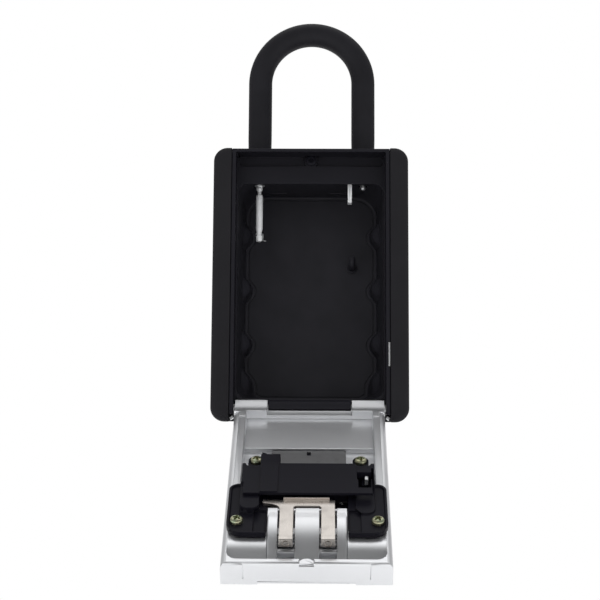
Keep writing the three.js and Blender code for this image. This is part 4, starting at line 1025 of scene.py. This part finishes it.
class KEYSAFE_OT_door(PieceOperator, bpy.types.Operator):
    """The door's casting, the hump over its thumb recess and its floor plate"""

    bl_idname = "key_safe.door"
    bl_label = "Door"

    def build(self, sizes, soft):
        cuts, adds = [block(PLATE_HOLE, (-5.2, 0), HOLE_REACH)], []
        for side in (-1, 1):
            cuts.append(block(mirrored(side, 26.3, 29.2), (3.45, 6), (12, 86.4)))
            cuts.append(block(mirrored(side, 23.0, 23.35), (-7, 5), (109.5, 111)))
            adds.append(block(mirrored(side, 17.9, 24.6), (-5.95, -3.3), (109.3, 109.79)))
        cuts += [prism(corner_waste(side, 31.5, 4, 2.9, 7), (9, 112), "Z") for side in (-1, 1)]
        pad = [(x, min(z, 109.0)) for x, z in outline_disc(3.0, (0, 108.6))]
        casting = carve(copy_of("door_casting", "door_shell"), DOOR, *cuts)
        weld(casting, DOOR, *adds, prism(pad, (-2.3, 2.95), "Y"))
        fitted(edged(casting, soft), "zinc", "door", "door_casting")
        plate = object_from(block((-15, 15), (-1.9, -0.9), (31.0, 45.6)), "floor_plate_sheet", DOOR)
        carve(plate, DOOR, block(PLATE_HOLE, (-3, 1), HOLE_REACH))
        fitted(edged(plate, soft * 0.4), "plate", "door", "floor_plate")
        # painted shade: a black block sunk in the floor plate's hole stands in for the hole's shade
        hole_shade = object_from(block((-0.75, 0.75), (-4.5, -1.5), (31.9, 34.1), 0.2), "plate_peg", DOOR)
        fitted(edged(hole_shade, 0.1), "lock_case", "door")
        self.hump()
        self.slopes()

    def hump(self):
        """The hump over the thumb recess, hollow, with a slot for each leg of the fork."""
        outline = [(-2.05, 80.5), (6.4, 80.5), (7.0, 80.9)] + falling(86, 106.6, 7.14, -2.05)
        hump = object_from(prism(outline, (-15.05, 15.05), "X", 0.9), "recess_hump", DOOR)
        hollow = [(-3.8, 82), (5.6, 82)] + arc((-3.8, 83.86), (9.4, 13.64), 0, 90, 20)
        carve(hump, DOOR, prism(hollow, (-13.4, 13.4), "X"), *[
            block((x - 3.25, x + 3.25), (-3, 9), (81.9, 103.2)) for x in (-FORK_LEG, FORK_LEG)])
        fitted(edged(hump, 0.25), "zinc", "door")

    def slopes(self):
        """The ledge beyond the lock case, and the slope that falls from it to the door's end."""
        slope = [(-2.0, 90.5), (3.6, 90.5), (3.8, 90.7)] + falling(96.4, 107.0, 3.95, -2.0)
        for side, name in ((-1, "left"), (1, "right")):
            piece = object_from(prism(slope, mirrored(side, 15.0, 29.45), "X"), f"tray_slope_{name}", DOOR)
            fitted(edged(piece, 0.2), "zinc", "door")


class KEYSAFE_OT_lock_case(PieceOperator, bpy.types.Operator):
    """The black case over the wheels, with its screws and code lever"""

    bl_idname = "key_safe.lock_case"
    bl_label = "Lock case"

    lever_opening = ((19.3, 24.3), (6.9, 11), (65.5, 71.5))

    def build(self, sizes, soft):
        cuts = [block(mirrored(side, 15.6, 20.2), (5.0, 7.4), (80.4, 94.6)) for side in (-1, 1)]
        cuts.append(block(*self.lever_opening))
        cuts += [prism(outline_disc(3.3, (side * 21.3, 54.4)), (6.0, 12), "Y") for side in (-1, 1)]
        for side in (-1, 1):
            cuts += [self.round_lug(side), prism(corner_waste(side, 30.2, 95.5, 6.5, 11), (3.5, 8), "Y")]
        case = carve(copy_of("lock_case", "lock_case_shell"), DOOR, *cuts)
        fitted(edged(case, soft), "lock_case", "door", "lock_case")
        self.roof()
        self.lever(soft)
        model = screw_model("case_screw_model", 2.4, 2.4, 1.2, 4.6)
        out = DOOR.to_3x3() @ Vector((0, 1, 0))
        turns = (20, 65, 8, 34)
        places = [facing(out, DOOR @ Vector(seat), turn) for seat, turn in zip(CASE_SCREWS, turns)]
        screws = spread(places, "case_screws", model, "screw")
        fitted(screws, "screw", "door", *[f"case_screw_{i + 1}" for i in range(4)])

    def roof(self):
        """The thin roof over the fork's flange, its raised strip, and the filler above the code lever."""
        roof = object_from(block((-24.6, 24.6), (9.1, 10.15), (66.0, 75.2)), "case_roof", DOOR)
        weld(roof, DOOR, block((-18.3, -11.4), (9.3, 10.6), (55.9, 74.8)))
        carve(roof, DOOR, block(*self.lever_opening))
        weld(roof, DOOR, block((18.8, 24.4), (7.2, 10.1), (57.5, 61.4)))
        fitted(edged(roof, 0.1), "lock_case", "door")

    def round_lug(self, side):
        """What a lug concentric with the upper screw leaves free of its square flange."""
        x, reach, r, low, high = side * 20.7, 43.8, 3.2, 37, 53
        curve = arc((x, reach), (side * r, r), 180, 360, 17)
        inner = [(15.5, low), (15.5, high), (x - r, high)]
        if side < 0:
            strip = -18.65
            curve = [p for p in curve if p[0] < strip - 0.01]
            inner = [(strip, low), (strip, curve[0][1])]
        rest = [(x + side * r, high), (side * 26, high), (side * 26, low)]
        return prism(inner + curve + rest, (0.9, 3.6), "Y")

    def lever(self, soft):
        """A bright pin on a dark foot."""
        x, start = LEVER_PLACE
        base = block((x - 1.5, x + 1.5), (5.1, 6.3), (start, start + 5.4), 0.5)
        fitted(edged(object_from(base, "lever_foot", DOOR), soft * 0.6), "lock_case", "lever")
        post = block((x - 0.25, x + 1.15), (6.0, 8.9), (start + 3.0, start + 5.3), 0.3)
        pin = object_from(post, "lever_pin", DOOR)
        carve(pin, DOOR, prism(outline_disc(0.3, (x + 0.45, 7.7)), (start + 5.0, start + 6)))
        fitted(edged(pin, 0.12), "steel", "lever", "code_lever")


class KEYSAFE_OT_latch(PieceOperator, bpy.types.Operator):
    """The sprung latch: fork, comb and thumb slide"""

    bl_idname = "key_safe.latch"
    bl_label = "Latch"

    def build(self, sizes, soft):
        fitted(self.fork(), "nickel", "latch", "latch_fork")
        dressed("fence_comb", "steel", soft * 0.5)
        dressed("thumb_slide", "zinc", soft)

    def fork(self):
        """A bar curled to a point at its left end, a low flange, and two legs with thick, riveted tips."""
        low, top, outer, inner, end = 5.9, 7.5, 10.45, 5.15, 102.9
        curl = [(-outer, 82), (-10.9, 80.4), (-11.6, 79.5), (-12.9, 78.8), (-14.6, 78.3), (-16.6, 78.0),
                (-17.1, 77.4)]
        outline = [(-17, 75.9), (outer, 75.9), (outer, end), (inner, end), (inner, 80.6),
                   (inner - 0.8, 79.8), (-inner + 0.8, 79.8), (-inner, 80.6), (-inner, end),
                   (-outer, end)] + curl
        fork = object_from(prism(outline, (low, top), "Y", 0.25), "fork_sheet", DOOR)
        adds = [prism(outline_rect((-9.2, 8.4), (75.9, 76.8), 0.3, 3), (low + 0.2, top + 1.3), "Y", 0.2, 2)]
        rivets = []
        for side in (-1, 1):
            tip = outline_rect(mirrored(side, inner, outer), (100.4, end), 0.4, 4)
            adds.append(prism(tip, (low - 0.15, top + 1.8), "Y", 0.3))
            centre = (side * FORK_LEG, 7.4)
            ring = [(1.05, end - 0.5), (1.4, end - 0.5), (1.5, end + 1), (0.95, end + 1), (1.05, end - 0.5)]
            dimple = [(0, end - 0.25), (0.4, end - 0.2), (0.6, end + 1), (0, end + 1)]
            rivets += [turned(ring, "Z", centre, 32), turned(dimple, "Z", centre, 24)]
        return shaded(carve(weld(fork, DOOR, *adds), DOOR, *rivets), 30)


def wheel_outline():
    """Ten flats for the figures, with a groove between each two."""
    flat = ((-FLAT_TURN, WHEEL_RADIUS), (FLAT_TURN, WHEEL_RADIUS))
    groove = ((15.5, 6.4), (16.8, 6.15), (19.2, 6.15), (20.5, 6.4))
    points = []
    for k in range(10):
        for offset, radius in flat + groove:
            turn = 180 + FIGURE_TURN * k + offset
            points += arc(WHEEL_CENTRE, radius, turn, turn, 1)
    return points


def figure_model(text, height):
    """One figure as a flat plate in millimetres, standing on the X-Y plane."""
    curve = bpy.data.curves.new("figure", "FONT")
    curve.body, curve.size, curve.extrude = text, height, 0.06
    curve.align_x, curve.align_y = "CENTER", "CENTER"
    curve.resolution_u = 3
    holder = linked("figure", curve)
    mesh = result_of(holder)
    bpy.data.objects.remove(holder)
    return mesh


class KEYSAFE_OT_wheels(PieceOperator, bpy.types.Operator):
    """The four number wheels on their sleeves and axle"""

    bl_idname = "key_safe.wheels"
    bl_label = "Number wheels"

    def build(self, sizes, soft):
        dressed("wheel_axle", "steel", soft * 0.5)
        figures = [figure_model(str(i), sizes.figure_height) for i in range(10)]
        for i in range(4):
            x = (i - 1.5) * WHEEL_PITCH
            low, high = x - WHEEL_WIDTH / 2, x + WHEEL_WIDTH / 2
            wheel = object_from(prism(wheel_outline(), (low, high), "X", 0.3), f"wheel_ring_{i + 1}", DOOR)
            carve(wheel, DOOR, prism(outline_disc(WHEEL_BORE, WHEEL_CENTRE), (low - 1, high + 1), "X"))
            fitted(shaded(wheel, 25), "wheel", f"wheel_{i + 1}", f"number_wheel_{i + 1}")
            fitted(self.ring_of_figures(figures, x, i + 1), "figures", f"wheel_{i + 1}")
            dressed(f"gate_sleeve_{i + 1}", "nickel", soft * 0.5)

    def ring_of_figures(self, figures, x, number):
        """The ten figures standing on a wheel's flats."""
        bm = bmesh.new()
        flat = WHEEL_RADIUS * math.cos(math.radians(FLAT_TURN))
        for k, mesh in enumerate(figures):
            a = math.radians(180 - FIGURE_TURN * k)
            out = Vector((0, math.cos(a), math.sin(a)))
            up = Vector((0, math.sin(a), -math.cos(a)))
            place = Matrix((Vector((1, 0, 0)), up, out)).transposed().to_4x4()
            place.translation = Vector((x, *WHEEL_CENTRE)) + out * flat
            before = len(bm.verts)
            bm.from_mesh(mesh)
            bm.verts.ensure_lookup_table()
            bmesh.ops.transform(bm, matrix=place, verts=bm.verts[before:])
        return object_from(closed(bm), f"wheel_figures_{number}", DOOR)


class KEYSAFE_OT_cover(PieceOperator, bpy.types.Operator):
    """The sliding weather cover"""

    bl_idname = "key_safe.cover"
    bl_label = "Weather cover"

    def build(self, sizes, soft):
        trim = block((-25, 25), (-7, -3), (109.2, 112))
        cover = carve(copy_of("weather_cover", "weather_cover_skin"), DOOR, trim)
        fitted(edged(cover, soft), "zinc", "cover", "weather_cover")


# Stage: floor, world, lamps and camera

FLOOR_DROP, FLOOR_RADIUS, SHADOW_REACH = 0.02, 6.0, (0.15, 0.45)
AROUND_LIGHT, FRONT_GLOSS = 1.1, 0.06
WHITE = (1.0, 1.0, 1.0)
LAMPS = {
    "key lamp": ((-0.5, -0.8, 0.3), (0, -0.05, -0.16), 0.8, 0.45),
    "fill lamp": ((0.4, -0.8, -0.05), (0, -0.05, -0.2), 0.8, 0.35),
    "top lamp": ((0, -0.15, 0.85), (0, -0.05, -0.15), 0.9, 0.6),
}
PHOTO_WIDTH, PHOTO_FOCAL, SENSOR = 600, 1589.0, 36
CAMERA_PLACE = (0.0065, -0.6877, -0.2263)
CAMERA_YAW, CAMERA_RISE, CAMERA_ROLL = math.radians(0.93), math.radians(9.15), math.radians(0.36)


def stage_floor(level):
    """A white floor that keeps the object's shadow and fades to pure white further off."""
    bm = bmesh.new()
    bmesh.ops.create_circle(bm, cap_ends=True, segments=96, radius=FLOOR_RADIUS)
    bmesh.ops.translate(bm, vec=(0, 0, level), verts=bm.verts)
    mesh = bpy.data.meshes.new("floor")
    bm.to_mesh(mesh)
    bm.free()
    floor = linked("floor", mesh)
    material = bpy.data.materials.new("floor white")
    material.use_nodes = True
    graph = Graph(material.node_tree)
    x, y, _ = graph.parts(graph.put("ShaderNodeTexCoord")["Object"])
    far = ((x * x + y * y) ** 0.5).step(*SHADOW_REACH)
    plain = graph.put("ShaderNodeBsdfPrincipled", {
        "Base Color": (0.93, 0.93, 0.93), "Roughness": 0.75, "Specular IOR Level": 0.2})
    white = graph.put("ShaderNodeEmission", {"Color": WHITE, "Strength": 1.0})
    ray = graph.put("ShaderNodeLightPath")
    seen = ray["Is Camera Ray"].most(ray["Is Glossy Ray"]).most(ray["Is Transmission Ray"])
    both = graph.put("ShaderNodeMixShader", {0: far * seen, 1: plain[0], 2: white[0]})
    graph.put("ShaderNodeOutputMaterial", {"Surface": both[0]})
    mesh.materials.append(material)


def stage_world(strength, front):
    """White for the camera; gloss sees the same, with a darker room in front and at the sides."""
    world = bpy.data.worlds.new("studio")
    bpy.context.scene.world = world
    world.use_nodes = True
    graph = Graph(world.node_tree)
    ray = graph.put("ShaderNodeLightPath")
    x, y, _ = graph.parts(graph.put("ShaderNodeTexCoord")["Generated"])
    room = ((y * -1).step(0.0, 0.5) * (1 - front)).most(abs(x).step(0.15, 0.8) * 0.75)
    seen = ray["Is Camera Ray"].most(ray["Is Transmission Ray"])
    gloss = ray["Is Glossy Ray"] * (1 - room)
    level = seen.most(gloss) + (1 - seen.most(ray["Is Glossy Ray"])) * strength
    background = graph.put("ShaderNodeBackground", {"Color": WHITE, "Strength": level})
    graph.put("ShaderNodeOutputWorld", {"Surface": background[0]})


def stage_lamp(name, place, target, size, power):
    data = bpy.data.lights.new(name, "AREA")
    data.shape, data.size, data.energy = "DISK", size, power
    lamp = linked(name, data)
    lamp.location = place
    lamp.rotation_euler = (Vector(target) - Vector(place)).to_track_quat("-Z", "Y").to_euler()


def stage_camera():
    """The camera at the photograph's place, angle and focal length."""
    rise, yaw, roll = CAMERA_RISE, CAMERA_YAW, CAMERA_ROLL
    forward = Vector((-math.sin(yaw) * math.cos(rise), math.cos(yaw) * math.cos(rise), math.sin(rise)))
    right = Vector((math.cos(yaw), math.sin(yaw), 0))
    up = right.cross(forward)
    across = right * math.cos(roll) + up * math.sin(roll)
    upward = up * math.cos(roll) - right * math.sin(roll)
    data = bpy.data.cameras.new("photo view")
    data.sensor_width, data.lens, data.clip_start = SENSOR, SENSOR * PHOTO_FOCAL / PHOTO_WIDTH, 0.01
    camera = linked("photo view", data)
    camera.matrix_world = Matrix.Translation(CAMERA_PLACE) @ Matrix(
        (across, upward, -forward)).transposed().to_4x4()
    bpy.context.scene.camera = camera


class KEYSAFE_OT_stage(PieceOperator, bpy.types.Operator):
    """Floor, world, soft lamps and the camera"""

    bl_idname = "key_safe.stage"
    bl_label = "Stage"

    def build(self, sizes, soft):
        bpy.context.scene.view_settings.view_transform = "Standard"
        stage_floor(CAD_BOX[0][2] - FLOOR_DROP)
        stage_world(AROUND_LIGHT, FRONT_GLOSS)
        for name, values in LAMPS.items():
            stage_lamp(name, *values)
        stage_camera()


class KEYSAFE_PT_panel(bpy.types.Panel):
    """Lists the pieces of the key safe in the sidebar"""

    bl_idname = "KEYSAFE_PT_panel"
    bl_label = "Key safe"
    bl_space_type = "VIEW_3D"
    bl_region_type = "UI"
    bl_category = "Key safe"

    def draw(self, context):
        column = self.layout.column()
        for name in KeySafeSizes.__annotations__:
            column.prop(context.scene.key_safe, name)
        for operator in OPERATORS:
            column.operator(operator.bl_idname)


OPERATORS = (
    KEYSAFE_OT_finishes, KEYSAFE_OT_jacket, KEYSAFE_OT_casting, KEYSAFE_OT_chamber,
    KEYSAFE_OT_housing_fittings, KEYSAFE_OT_shackle, KEYSAFE_OT_door, KEYSAFE_OT_lock_case,
    KEYSAFE_OT_latch, KEYSAFE_OT_wheels, KEYSAFE_OT_cover, KEYSAFE_OT_stage,
)
CLASSES = (KeySafeSizes, *OPERATORS, KEYSAFE_PT_panel)


def register():
    for one in CLASSES:
        bpy.utils.register_class(one)
    bpy.types.Scene.key_safe = PointerProperty(type=KeySafeSizes)


def unregister():
    del bpy.types.Scene.key_safe
    for one in reversed(CLASSES):
        bpy.utils.unregister_class(one)


def main():
    register()
    for operator in OPERATORS:
        group, name = operator.bl_idname.split(".")
        getattr(getattr(bpy.ops, group), name)()


if __name__ == "__main__":
    main()
